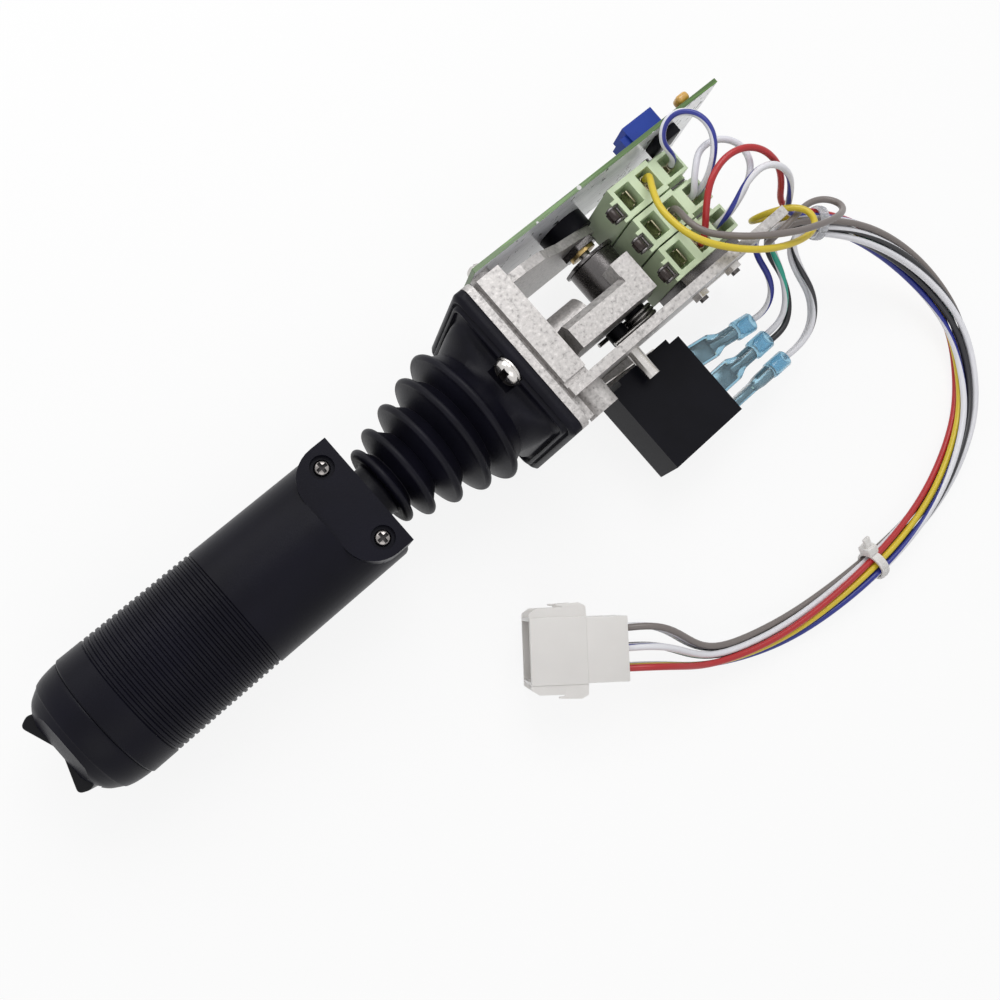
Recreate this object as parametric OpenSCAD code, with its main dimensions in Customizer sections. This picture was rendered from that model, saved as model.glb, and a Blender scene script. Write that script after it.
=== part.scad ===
// Single axis machine joystick with thumb rocker, open frame, three cam switches and a limit switch.
// It lies on its side: +X runs from the flange to the end of the grip, +Z is up, and the lever swings about Y.
// The origin is the middle of the metal flange's front face, where the boot's rim lies on it.

/* [Flange and boot] */
// Width of the square flange
flange_w = 54.4; // [54:0.2:56]
// Thickness of the boot's rubber rim on the flange
rim_t = 3.8; // [3:0.1:4.2]
// Thickness of the metal flange plate
plate_t = 2.6; // [2:0.1:3]
// Diameter of the two flange screws
flange_screw_d = 4; // [3.5:0.1:4.4]
// Wall of the rubber boot
boot_wall = 1.4; // [1:0.1:1.8]

/* [Casting] */
// Depth of the groove between flange and block, along X
groove_t = 1.8; // [1.4:0.1:2.2]
// Depth of the thick block behind the groove, along X
block_t = 8.6; // [8:0.2:9.4]
// Outer face of the switch rail, from the lever's axis
rail_y = 18.5; // [18.3:0.1:18.9]
// Thickness of the switch rail
rail_t = 3.2; // [2.8:0.1:3.3]
// Length of the rail behind the flange's front face
rail_l = 98.9; // [97.5:0.1:99.3]
// Inner face of the side wall that carries the sensor, from the lever's axis
wall_y = 19; // [18.6:0.1:19.4]
// Thickness of that side wall
wall_t = 3; // [2.4:0.1:3.4]
// Diameter of the round side bosses
boss_d = 10.6; // [9:0.2:11]
// Radius of the tapped holes in the side bosses
boss_hole_r = 2.1; // [1.65:0.05:2.5]
// Depth of the tapped holes in the side bosses
boss_hole_l = 8; // [6:0.5:8.5]

/* [Lever] */
// Largest swing of the lever to each side, in degrees
swing = 12; // [9:0.5:12]
// Distance from the flange's front face back to the pivot
pivot_x = 49.9; // [49.5:0.1:50.1]
// Diameter of the pivot shaft
pivot_d = 6; // [5:0.1:6.5]
// Diameter of the lever's hub
hub_d = 17; // [15:0.2:17.4]
// Diameter of the lever rod
rod_d = 9; // [8:0.1:9.2]
// Radius of the cam head about the pivot
cam_r = 20; // [19.6:0.1:20.1]
// Diameter of the centring post
post_d = 4.8; // [4.4:0.1:5]

/* [Grip] */
// Distance from the flange's front face to the grip's lower end
grip_x = 58; // [57.8:0.1:58.6]
// Length of the grip up to the cap's seam
grip_l = 94.6; // [93:0.2:97]
// Diameter of the grip
grip_d = 40.8; // [40:0.2:42]
// Number of the fine ring grooves
groove_n = 20; // [12:1:21]
// Depth of a ring groove
groove_h = 0.5; // [0.3:0.05:0.7]
// Height of the domed cap
cap_l = 13.4; // [13:0.2:14.4]
// Reach of the rocker's horns past the cap
rocker_l = 4.6; // [4:0.2:5]
// Distance between the two screws on each flat
flat_screw_pitch = 26.2; // [25:0.2:27]

/* [Circuit board] */
// Length of the circuit board
board_l = 105; // [104:0.5:108]
// Width of the circuit board
board_w = 41; // [40:0.5:42]
// Thickness of the circuit board
board_t = 1.6; // [1.2:0.1:2]
// Length of the trimmer's body
trimmer_l = 13; // [12:0.5:14]
// Height of the trimmer over the board
trimmer_h = 7.2; // [6:0.2:8]

/* [Cam switches] */
// Length of a switch, along X
switch_l = 27.8; // [27.4:0.1:28.2]
// Thickness of a switch, along Y
switch_t = 11.5; // [11.1:0.1:11.6]
// Distance between switches, along Y
switch_pitch = 12.1; // [12:0.05:12.2]
// Height of a switch, along Z
switch_h = 27; // [25:0.5:28]
// Radius of a cam roller
roller_r = 1.8; // [1.6:0.05:1.85]

/* [Limit switch] */
// Length of the limit switch, along X
limit_l = 31.3; // [31:0.1:31.6]
// Width of the limit switch, along Y
limit_w = 32.3; // [32.2:0.1:33]
// Thickness of the limit switch, along Z
limit_t = 16; // [15:0.2:16.4]
// Width of a flat insulated terminal
terminal_w = 8.4; // [7.8:0.1:8.8]
// Length of an insulated terminal
terminal_l = 28; // [27.8:0.1:28.2]

/* [Harness] */
// Diameter of one wire
wire_d = 2.2; // [1.9:0.1:2.3]
// Distance between wires in the bundle
bundle_pitch = 2.52; // [2.5:0.01:2.6]
// Width and height of the connector
plug_w = 21; // [20.6:0.2:21.6]
// Length of the connector
plug_l = 31; // [30:0.5:32]
// Distance between the connector's ways
plug_pitch = 6.3; // [6.1:0.05:6.4]

/* [Hidden] */
$fn = 64;
fit = 0.05;
gap = 0.3;

// flange and boot: places along X from the flange's front face, and sizes across it
top_z = flange_w / 2;
corner_r = 3;
plate_x1 = -plate_t;
block_x0 = plate_x1 - groove_t;
block_x1 = block_x0 - block_t;
groove_in = 2.6;
collar_x = rim_t + 2.6;
collar_wy = 45;
collar_wz = 38;
collar_r = 6;
rim_bevel = 1.4;
folds = [[56, 8.8], [52.6, 9], [51.2, 13.6], [47.6, 9.4], [44.6, 16.5], [39.2, 10.9], [35.8, 18.9],
    [30.6, 13.9], [26.4, 21.5], [21.6, 16.6], [17.8, 24], [11, 19.2], [rim_t + 2, 17.6]];
fold_steps = 3;
flange_screw_z = top_z - 5.2;
flange_screw_l = 10;
flange_head_d = 9;
flange_head_h = 3.2;
washer_d = 10.2;
washer_t = 0.7;
recess_h = 0.9;
recess_w = 0.8;

// casting
block_y0 = -25.6;
block_half = 26;
rail_in = rail_y - rail_t;
rail_half = 20;
pivot = [-pivot_x, 0, 0];
mouth_h = 2 * (pivot_x * tan(swing) + rod_d / 2 / cos(swing) + gap);
mouth_w = 24;
mouth_r = 4;
wall_top = 25.6;
wall_steps = [[6.4, 0.8], [15, 3.5], [25, 12]];
wall_foot = 3;
wall_back = 6.5;
boss_x = -12.2;
boss_z = 17.5;
boss_y1 = flange_w / 2;
bevel_w = 1.9;
bevel_h = 1.2;
window_x0 = -94.9;
window_x1 = -76.4;
window_z0 = -12;
window_z1 = 4;
shelf_t = 2;
shelf_x0 = 34.4;
shelf_x1 = 52.4;
shelf_y1 = 50;

// pivot, post and centring spring
arm_y0 = -0.5;
arm_y1 = 8.8;
rail_bush_d = 9;
spacer_d = 7.8;
post_x = 40.4;
post_y1 = 29.3;
sleeve_d = 7;
spring_wire = 1.5;
spring_r = 5;
spring_turns = 3;
spring_lap = 0.96;
spring_leg = 15;
spring_y0 = arm_y1 + gap + 0.3;

// lever
core_l = 17;
core_side = 6.8;
arm_x0 = 19.4;
arm_top = 20;
arm_back = 6.5;
head_front = 5.5;
head_back = 1.5;
head_y0 = -5.5;
head_y1 = 8.9;
head_z0 = 11;
socket_d = 14;
socket_l = 16;
chamfer = 3;
hub_y0 = -12.6;
hub_plate_t = 1.2;
hub_plate_w = 17;
hub_plate_r = 5.6;
rod_in = 12;
rod_x0 = -arm_x0 - rod_in;
rod_x1 = grip_x + core_l + 5;
rod_bore = 5;
neck_x0 = folds[1].x + 0.4;
neck_d = 2 * (folds[0].y - boot_wall - fit);

// grip, cap and rocker
groove_end = 9;
groove_pitch = 1.9;
seam_h = 0.5;
edge_r = 1.2;
grip_bore_r = 15;
flat_l = 16.4;
flat_w = 38.4;
flat_z = 19;
flat_r = 11;
flat_step = 10;
flat_screw_x = grip_x + 6.2;
flat_screw_d = 3.5;
flat_head_d = 6.6;
flat_head_h = 1.9;
flat_sink = 1.6;
flat_screw_in = 5;
grip_end_wall = 2.2;
collar_x1 = grip_x + core_l;
core_w = flat_screw_pitch + core_side;
core_h = 20;
spigot_l = 7;
rocker_x = grip_x + grip_l + 6.2;
rocker_w = 26;
rocker_t = 12.4;
rocker_gap = 1.4;
rocker_floor = 3.6;
rocker_hub_r = 2.6;
rocker_dip = 3.2;
rocker_pin_d = 2.4;
rocker_pin_l = 17;
thumb_w = 12.8;
thumb_t = 6.5;

// cam switches
strip_t = 3.35;
switch_x0 = -59.4;
switch_top = 21;
switch_z0 = switch_top - switch_h;
front_l = 17.4;
rear_step = 1;
rear_w = 9.2;
strip_top = 16;
ways = [[-61, 6.2], [-70.3, 5.5]];
way_w = 7.8;
way_h = 7;
rear_way = -80.2;
rear_way_l = 6.2;
rear_way_w = 6.8;
blade_x = -65.2;
blade_t = 0.8;
blade_w = 4.8;
blade_down = 1.2;
crimp_dy = [-1.5, -0.6, 1.3];
crimp_d = 2.6;
crimp_top = 17.5;
front_x = -73.9;
rear_x = -84;
rear_dx = 1.15;
rear_crimp_l = 4.4;
switch_screw_x = [-68, -83.2];
switch_screw_z = 7.6;
switch_screw_d = 3;
switch_head_d = 5.4;
switch_head_h = 2;
switch_nut_w = 5.5;
switch_nut_t = 2.2;
screw_out = 1.2;
roller_off = 1.9;
roller_w = 3.4;
roller_x = -55;
roller_z = 21.6;
fork_t = 0.8;
hinge_x = -58.4;
hinge_z = 19.9;
axle_d = 1.2;
lever_hub_d = 1.9;
cheek_in = 2.7;
cheek_t = 1.3;
cheek_l = 2.2;
cheek_z0 = 18.9;

// circuit board and sensor
board_gap = 2.05;
board_in = switch_y(0) - switch_t / 2 - switch_head_h - board_gap;
board_out = board_in - board_t;
board_x0 = -5.9;
board_z0 = top_z - board_w;
board_screw_x = -9.2;
board_screw_z = [20, -8];
board_screw_d = 3;
board_screw_l = 8;
board_head_d = 5.6;
board_head_h = 2;
lug_d = 7;
trimmer_x = -79.4;
trimmer_z0 = 9;
trimmer_z1 = 18.5;
trimmer_step = 2.6;
trimmer_screw_z = 16;
trimmer_screw_d = 2.4;
trimmer_screw_l = 2.5;
trimmer_screw_out = 0.8;
trimmer_slot = 0.5;
cap_x = -98.6;
cap_w = 7;
cap_t = 4.4;
cap_z = 18;
chip_x = -99.4;
chip_w = 6;
chip_t = 2.6;
chip_z = -2;
header_x = -84.6;
header_w = 9;
header_t = switch_head_h + board_gap - gap;
header_z = 12;
sensor_body_d = 17;
sensor_body_t = -wall_y - wall_t - board_in;
sensor_d = 9.5;
sensor_shaft_d = 4;
sensor_lip = 1.2;
bush_y1 = -wall_y + 3.4;
nut_w = 12;
nut_t = 2.2;

// limit switch
limit_x0 = -27.1;
limit_y0 = 24.7;
limit_z1 = -4;
limit_step = 1.9;
limit_step_in = 4.3;
limit_screw_x = [-38, -49];
limit_screw_y = 36;
limit_screw_d = 3;
limit_screw_l = 7;
limit_head_d = 5.5;
limit_head_h = 2;
shelf_z0 = limit_z1 - limit_t - shelf_t;
leaf_x = -50.4;
leaf_y = 23.4;
leaf_z0 = -15;
leaf_z1 = -9;
leaf_l = 26;
leaf_t = 0.4;
leaf_open = 4.5;
leaf_hub_r = 1.1;
leaf_tip_r = 1.3;
leaf_pin_in = 2;
limit_blade_w = 6.3;
limit_blade_l = 11;
blade_root = 1;
terminal_y = [33, 45.5, 54.6];
terminal_roll = [0, 0, 90];
terminal_yaw = [9, 0, 0];
terminal_z = -12;
terminal_gap = 1;
terminal_t = 3.4;
neck_h = 3;
mouth_end_h = 3.4;

// wires: each list of points was chosen by hand along the wire in the picture
wire_sides = 8;
curve_steps = 2;
ring_ref = [0.5, 0.5, 0.7];
wire_out = 0.5;
rear_top = crimp_top - rear_step;
wire_y = [for (i = [0:2]) switch_y(i)];
exit_x = limit_x0 - limit_l - terminal_gap - terminal_l - fit;
harness = [[-109.4, 17, 1.5], [-121.4, 25, 2], [-133.4, 36, 0], [-146.4, 51, -8], [-154.4, 69, -15],
    [-155.4, 88, -19.5], [-147.4, 104, -22], [-133.4, 117, -22.5], [-112.4, 126, -22.5], [-91.4, 130, -22.3],
    [-66.4, 130, -21.2], [-38.4, 127, -21.8], [-16.4, 121, -20.5], [3.6, 111, -18.5]];
twist = 360 / (len(harness) - 1);
wire_colors = [[0.72, 0.05, 0.05], [0.90, 0.90, 0.93], [0.93, 0.80, 0.08], [0.55, 0.58, 0.62], [0.85, 0.88, 0.95],
    [0.06, 0.06, 0.07], [0.93, 0.92, 0.80], [0.88, 0.88, 0.88], [0.93, 0.93, 0.93]];
wire_slots = [[-1, 1], [0, 1], [-1, 0], [1, 1], [-1, -1], [0, -1], [0, 0], [1, 0], [1, -1]];
wire_first = [1, 1, 0, 1, 0, 1, 1, 1, 1];
wire_starts = [
    [[front_x, wire_y[2] + crimp_dy[2], crimp_top + wire_out], [-74.3, 6.9, 20.8], [-75.4, 4.6, 24],
        [-77.8, 0.5, 27.6], [-82.4, -4.5, 31.4], [-90.4, -7, 33], [-98.4, -5.5, 33], [-104.4, -1, 31],
        [-108.4, 5, 26], [-109.9, 9.6, 19], [-111.4, 12.4, 11.8], [-114.4, 15.6, 6.4], [-118.8, 18.6, 3.6]],
    [[rear_x + rear_dx, wire_y[2], rear_top + wire_out], [-83, 6.3, 20], [-84.6, 6.2, 23.6], [-88.4, 5, 26.4],
        [-92.9, 3, 28.8], [-99.7, 2.2, 31], [-105.1, 5.2, 30.5], [-109.9, 9.7, 25], [-111, 14, 17.5],
        [-111.4, 16.2, 11.6], [-113.4, 18, 7.6], [-117.4, 20.4, 5]],
    [[front_x, wire_y[0] + crimp_dy[0], crimp_top + wire_out], [-73.7, -19.2, 20.8], [-72, -18, 23.8],
        [-68.6, -14.6, 26.4], [-65.2, -9.6, 28.6], [-63.6, -3.6, 30.6], [-64.4, 4.5, 32], [-69.4, 12.5, 32],
        [-79.4, 21, 30.5], [-91.4, 26, 26.4], [-102.4, 28, 22.4], [-109.4, 26.5, 19.6], [-111.9, 22, 17.6],
        [-109.4, 17.5, 16], [-104.8, 14.4, 13.4], [-102.4, 12.6, 9.8], [-101.9, 11.8, 6], [-103.6, 11.8, 2.9],
        [-106.8, 12.8, 1.7]],
    [[front_x, wire_y[1] + crimp_dy[1], crimp_top + wire_out], [-73.5, -6, 20.8], [-71.9, -3.5, 24],
        [-69.9, 1, 27.5], [-70.9, 6.5, 29], [-76.4, 12.5, 29.6], [-84.4, 19, 30.5], [-96.9, 25.5, 29.3],
        [-110.4, 29, 25], [-120.4, 29.5, 19.5], [-124.4, 26.5, 15.5], [-122.4, 22, 13.4], [-116.4, 19.8, 13.4],
        [-109.4, 20.4, 13.6], [-104.2, 20.8, 13.5], [-100.8, 21, 12.1], [-99.4, 21, 8.7], [-100.8, 20.9, 5.3],
        [-104.2, 20.7, 3.9], [-109, 20.6, 3.8], [-114.5, 21.8, 4.6]],
    [[exit_x, 37.3, terminal_z], [-93.9, 37.6, -11], [-98.4, 34.5, -8], [-100.4, 29, -5.5], [-100.9, 23, -4.4],
        [-103.4, 17.8, -3.4]],
    [[exit_x, 46.8, terminal_z], [-95.4, 46.6, -11], [-101.4, 41.4, -8.9], [-104.4, 33, -6], [-104.6, 26.6, -4.6],
        [-105.6, 21.8, -3.4], [-108.8, 18.8, -2.4], [-113.4, 19.8, -1.4]],
    [[exit_x, 44.3, terminal_z], [-95.4, 43.8, -9.7], [-100.4, 39, -6.5], [-102.9, 32, -3], [-103.9, 26, -0.8],
        [-105.4, 21.4, 0.6], [-108.6, 18.6, 1.4], [-113.4, 19.6, 1.8]],
    [[exit_x, 54.6, terminal_z + 1.2], [-96.4, 54.6, -9.4], [-103.4, 51, -6.6], [-107.4, 44, -3.5],
        [-108, 36, -0.8], [-109, 29.6, 1.4], [-111.4, 26, 2.4], [-115.2, 24.9, 3]],
    [[exit_x, 54.6, terminal_z - 1.2], [-96.4, 54.6, -12], [-103.4, 51, -9.2], [-107.4, 44, -6],
        [-107.6, 36.6, -3.5], [-108.4, 30.4, -1.5], [-110.8, 26.7, -0.3], [-114.6, 25.8, 0.6]]
];
jumper_blue_route = [[rear_x - rear_dx, wire_y[0], rear_top + wire_out], [-85, -18.6, 20.4], [-83.7, -20.8, 23.2],
    [-82.6, -24, 25.6], [-84.4, -27, top_z + 1.2], [-88, -27.8, top_z + 3.4], [-91.4, -26, top_z + 4.6],
    [-93.6, -22.4, top_z + 5.4], [-94, -18, top_z + 5.4], [-92.6, -13.6, top_z + 4.6], [-90, -9.8, 29.4], [-87, -6.9, 25.6], [-85.5, -5.8, 21.4],
    [rear_x - rear_dx, wire_y[1], rear_top + wire_out]];
jumper_white_route = [[rear_x + rear_dx, wire_y[1], rear_top + wire_out], [-82.9, -6.3, 20.4], [-84, -8.9, 22.9],
    [-86.9, -12, 24.5], [-90.6, -14.6, 25.2], [-95, -14.6, 26.4], [-99, -12.4, 27], [-101.6, -8.4, 27.2],
    [-101.6, -3.6, 27], [-99.2, 0.4, 26.4], [-95, 3.2, 25.2], [-90.4, 5, 23.8], [-87, 6, 22], [-85.3, 6.2, 19.8],
    [rear_x - rear_dx, wire_y[2], rear_top + wire_out]];

// cable ties and connector
tie_r = 4.75;
tie_t = 1.2;
tie_w = 3.4;
tie_head = 5;
tie_lip = 0.6;
tie_tail = 7;
clear_tie_i = 1;
clear_on = 2.6;
clear_roll = 200;
white_tie_i = 10;
white_roll = 60;
white_on = 0;
plug_at = [24.6, 88, -12];
plug_yaw = 140.3;
plug_tilt = 6;
plug_roll = 4;
plug_lead = 14;
plug_rear = 13;
plug_mouth = 11;
plug_wall = 1.2;
ear_w = 1.8;
ear_h = 3;
ear_l = 8;
latch_w = 1.6;
rear_in = 0.5;
contact_d = 2.1;

// Plain helpers

module box(a, b) {
    translate([min(a.x, b.x), min(a.y, b.y), min(a.z, b.z)])
        cube([abs(b.x - a.x), abs(b.y - a.y), abs(b.z - a.z)]);
}

module bar_x(x0, x1, d) {
    translate([min(x0, x1), 0, 0])
        rotate([0, 90, 0])
            cylinder(d = d, h = abs(x1 - x0));
}

module bar_y(y0, y1, d) {
    translate([0, min(y0, y1), 0])
        rotate([-90, 0, 0])
            cylinder(d = d, h = abs(y1 - y0));
}

module bar_z(z0, z1, d) {
    translate([0, 0, min(z0, z1)])
        cylinder(d = d, h = abs(z1 - z0));
}

// Square with round corners, centred on the origin
module round_square(w, h, r) {
    square([w - 2 * r, h], center = true);
    square([w, h - 2 * r], center = true);
    for (sx = [-1, 1], sy = [-1, 1])
        translate([sx * (w / 2 - r), sy * (h / 2 - r)])
            circle(r = r);
}

// Extrudes a shape drawn in Y and Z along X
module slab_x(x0, x1) {
    translate([min(x0, x1), 0, 0])
        rotate([90, 0, 90])
            linear_extrude(abs(x1 - x0))
                children();
}

// Extrudes a shape drawn in X and Z along Y
module slab_y(y0, y1) {
    translate([0, max(y0, y1), 0])
        rotate([90, 0, 0])
            linear_extrude(abs(y1 - y0))
                children();
}

// Turns a profile drawn as distance along X and radius about the X axis
module turn_x(profile) {
    rotate([0, 90, 0])
        rotate_extrude()
            polygon([for (p = profile) [p.y, p.x]]);
}

// Flange, block, rail and side wall in one casting

module flange_plate() {
    slab_x(0, plate_x1)
        round_square(flange_w, flange_w, corner_r);
    slab_x(plate_x1, block_x0)
        round_square(flange_w - 2 * groove_in, flange_w - 2 * groove_in, corner_r);
}

module thick_block() {
    box([block_x1, block_y0, -block_half], [block_x0, rail_y, top_z]);
    for (z = board_screw_z)
        translate([board_screw_x, 0, z])
            bar_y(block_y0, board_in, lug_d);
}

module switch_rail() {
    box([-rail_l, rail_in, -rail_half], [block_x0 - fit, rail_y, top_z]);
    box([-shelf_x1, rail_in, shelf_z0], [-shelf_x0, shelf_y1, shelf_z0 + shelf_t]);
    box([-shelf_x1, rail_in, shelf_z0], [-shelf_x0, rail_y, -rail_half]);
}

module side_wall() {
    slab_y(-wall_y - wall_t, -wall_y)
        polygon(concat([[block_x0, -rail_half], [block_x0, wall_top]],
            [for (p = wall_steps) [block_x1 - p.x, wall_top - p.y]],
            [[-pivot_x + wall_foot / 2, sensor_d / 2 + wall_foot + 1], [-pivot_x - wall_back, wall_foot],
                [-pivot_x - wall_back, -rail_half]]));
}

module side_bosses() {
    for (s = [-1, 1])
        translate([boss_x, 0, s * boss_z]) {
            bar_y(rail_in, boss_y1, boss_d);
            box([0, rail_in, -boss_d / 4], [plate_x1 - boss_x, boss_y1 - 1, boss_d / 4]);
        }
}

module casting_holes() {
    slab_x(1, block_x1 - 1)
        round_square(mouth_w, mouth_h, mouth_r);
    for (s = [-1, 1])
        translate([0, 0, s * flange_screw_z])
            bar_x(1, -flange_screw_l, flange_screw_d + 2 * fit);
    for (s = [-1, 1])
        translate([boss_x, 0, s * boss_z])
            bar_y(boss_y1 - boss_hole_l, boss_y1 + 1, 2 * boss_hole_r);
    for (z = board_screw_z)
        translate([board_screw_x, 0, z])
            bar_y(board_in - 1, board_out + board_screw_l, board_screw_d + 2 * fit);
    translate(pivot) {
        bar_y(rail_in - 1, rail_y + 1, rail_bush_d + 2 * fit);
        bar_y(-wall_y - wall_t - 1, -wall_y + 1, sensor_d + 2 * fit);
    }
    translate([-post_x, 0, 0])
        bar_y(rail_in - 1, rail_y + 1, post_d + 2 * fit);
    for (x = switch_screw_x)
        translate([x, 0, switch_screw_z])
            bar_y(rail_in - 1, rail_y + 1, switch_screw_d + 2 * fit);
    box([window_x0, rail_in - 1, window_z0], [window_x1, rail_y + 1, window_z1]);
    for (x = limit_screw_x)
        translate([x, limit_screw_y, 0])
            bar_z(shelf_z0 - 1, shelf_z0 + shelf_t + 1, limit_screw_d + 2 * fit);
    box([block_x1 - 1, rail_in - bevel_w, top_z - bevel_h], [block_x0, rail_in, top_z + 1]);
}

module casting() {
    color([0.72, 0.70, 0.68])
        difference() {
            union() {
                flange_plate();
                thick_block();
                switch_rail();
                side_wall();
                side_bosses();
            }
            casting_holes();
        }
}

// Rubber boot

function eased(a, b, t) = [a.x + (b.x - a.x) * t, a.y + (b.y - a.y) * (1 - cos(180 * t)) / 2];
function fold_line(k) = concat(
    [for (i = [0:len(k) - 2]) for (j = [0:fold_steps - 1]) eased(k[i], k[i + 1], j / fold_steps)],
    [k[len(k) - 1]]);
function reversed(v) = [for (i = [len(v) - 1:-1:0]) v[i]];

module boot() {
    n = len(folds) - 1;
    color([0.09, 0.09, 0.10])
        difference() {
            union() {
                turn_x(concat(fold_line(folds), reversed([for (p = folds) [p.x, p.y - boot_wall]])));
                slab_x(0, rim_t - rim_bevel)
                    round_square(flange_w, flange_w, corner_r);
                slab_x(rim_t - rim_bevel, rim_t)
                    round_square(flange_w - 2 * rim_bevel, flange_w - 2 * rim_bevel, corner_r);
                slab_x(rim_t, collar_x)
                    round_square(collar_wy, collar_wz, collar_r);
            }
            bar_x(-1, folds[n].x + fit, 2 * (folds[n].y - boot_wall));
            bar_x(folds[n].x, collar_x + 1, 2 * (folds[n].y - boot_wall));
            for (s = [-1, 1])
                translate([0, 0, s * flange_screw_z]) {
                    bar_x(-1, rim_t + 1, flange_screw_d + 2 * gap);
                    bar_x(rim_t, collar_x + 1, washer_d + 2 * gap);
                }
        }
}

module dome_screw(d, head_d, head_h, l) {
    translate([-l, 0, 0])
        bar_x(0, l + fit, d);
    turn_x([[0, 0], [0, head_d / 2], [head_h * 0.35, head_d / 2], [head_h * 0.75, head_d * 0.36],
        [head_h, head_d * 0.16], [head_h, 0]]);
}

module flange_screws() {
    color([0.85, 0.84, 0.82])
        for (s = [-1, 1])
            translate([rim_t + washer_t, 0, s * flange_screw_z])
                difference() {
                    dome_screw(flange_screw_d, flange_head_d, flange_head_h, flange_screw_l + rim_t - gap);
                    cross_recess(flange_head_h - recess_h, flange_head_h + 1, flange_head_d * 0.6);
                }
}

// Cross recess of a screw head that faces +X
module cross_recess(x0, x1, w) {
    for (a = [45, 135])
        rotate([a, 0, 0])
            box([x0, -w / 2, -recess_w / 2], [x1, w / 2, recess_w / 2]);
}

module flange_washers() {
    color([0.66, 0.66, 0.70])
        for (s = [-1, 1])
            translate([0, 0, s * flange_screw_z])
                difference() {
                    bar_x(rim_t, rim_t + washer_t, washer_d);
                    bar_x(rim_t - 1, rim_t + washer_t + 1, flange_screw_d + 2 * fit);
                }
}

// Circuit board and what stands on it

module circuit_board() {
    color([0.25, 0.42, 0.18])
        difference() {
            box([board_x0, board_in, board_z0], [board_x0 - board_l, board_out, top_z]);
            for (z = board_screw_z)
                translate([board_screw_x, 0, z])
                    bar_y(board_out - 1, board_in + 1, board_screw_d + 2 * fit);
        }
}

module board_screws() {
    color([0.80, 0.79, 0.78])
        for (z = board_screw_z)
            translate([board_screw_x, board_out, z])
                rotate([0, 0, -90])
                    difference() {
                        dome_screw(board_screw_d, board_head_d, board_head_h, board_screw_l);
                        cross_recess(board_head_h - recess_h, board_head_h + 1, board_head_d * 0.6);
                    }
}

module trimmer() {
    color([0.18, 0.27, 0.62])
        difference() {
            union() {
                box([trimmer_x, board_out, trimmer_z0], [trimmer_x - trimmer_l, board_out - trimmer_h, trimmer_z1]);
                box([trimmer_x + trimmer_step, board_out, trimmer_z0 + 1],
                    [trimmer_x, board_out - trimmer_h * 0.7, trimmer_z1 - 1]);
            }
            translate([0, board_out - trimmer_h / 2, trimmer_screw_z])
                bar_x(trimmer_x - trimmer_l - 1, trimmer_x - trimmer_l + trimmer_screw_l, trimmer_screw_d + 2 * fit);
        }
}

module trimmer_screw() {
    color([0.80, 0.35, 0.20])
        translate([0, board_out - trimmer_h / 2, trimmer_screw_z])
            difference() {
                bar_x(trimmer_x - trimmer_l - trimmer_screw_out, trimmer_x - trimmer_l + trimmer_screw_l - fit,
                    trimmer_screw_d);
                box([trimmer_x - trimmer_l - trimmer_screw_out - 1, -trimmer_slot / 2, -trimmer_screw_d],
                    [trimmer_x - trimmer_l - trimmer_screw_out + trimmer_slot, trimmer_slot / 2, trimmer_screw_d]);
            }
}

module board_parts() {
    color([0.80, 0.55, 0.20])
        box([cap_x, board_out, cap_z], [cap_x - cap_w, board_out - cap_t, cap_z + cap_w]);
    color([0.12, 0.12, 0.13]) {
        box([chip_x, board_out, chip_z], [chip_x - chip_w, board_out - chip_t, chip_z + chip_w]);
        box([header_x, board_in, header_z], [header_x - header_w, board_in + header_t, header_z + header_w]);
    }
}

module sensor() {
    color([0.15, 0.15, 0.16])
        translate(pivot)
            difference() {
                bar_y(board_in, board_in + sensor_body_t, sensor_body_d);
                bar_y(board_in + sensor_body_t - sensor_lip, board_in + sensor_body_t + 1, sensor_d + 2 * fit);
            }
}

module sensor_bush() {
    color([0.72, 0.55, 0.26])
        translate(pivot)
            difference() {
                bar_y(board_in + sensor_body_t - sensor_lip, bush_y1, sensor_d);
                bar_y(board_in + sensor_body_t - sensor_lip - 1, bush_y1 + 1, sensor_shaft_d + 2 * fit);
            }
}

module sensor_nut() {
    color([0.12, 0.12, 0.13])
        translate(pivot)
            difference() {
                slab_y(-wall_y, -wall_y + nut_t)
                    circle(d = nut_w / cos(30), $fn = 6);
                bar_y(-wall_y - 1, -wall_y + nut_t + 1, sensor_d + 2 * fit);
            }
}

// Pivot, post and centring spring

module rail_bush() {
    color([0.66, 0.64, 0.60])
        translate(pivot)
            difference() {
                bar_y(rail_in, rail_y, rail_bush_d);
                bar_y(rail_in - 1, rail_y + 1, pivot_d + 2 * fit);
            }
}

module centring_post() {
    color([0.82, 0.81, 0.80])
        translate([-post_x, 0, 0])
            bar_y(head_y1 + gap, post_y1, post_d);
}

module post_sleeve() {
    color([0.10, 0.10, 0.11])
        translate([-post_x, 0, 0])
            difference() {
                bar_y(head_y1 + gap, rail_in, sleeve_d);
                bar_y(head_y1, rail_in + 1, post_d + 2 * fit);
            }
}

module centring_spring() {
    step = spring_wire * spring_lap;
    color([0.55, 0.54, 0.52])
        translate(pivot) {
            for (i = [0:spring_turns - 1])
                translate([0, spring_y0 + spring_wire / 2 + step * i, 0])
                    rotate([90, 0, 0])
                        rotate_extrude()
                            translate([spring_r, 0])
                                circle(d = spring_wire, $fn = 16);
            for (k = [0, spring_turns - 1])
                translate([0, spring_y0 + spring_wire / 2 + step * k, (k == 0 ? -1 : 1) * spring_r])
                    bar_x(0, spring_leg, spring_wire);
        }
}

// Lever: rod, arm, hub, cam plate and shaft

module lever_rod() {
    color([0.62, 0.62, 0.62])
        difference() {
            union() {
                bar_x(rod_x0, rod_x1, rod_d);
                bar_x(neck_x0, grip_x - gap, neck_d);
            }
            bar_x(rod_x0 + 2, rod_x1 + 1, rod_bore);
        }
}

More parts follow.
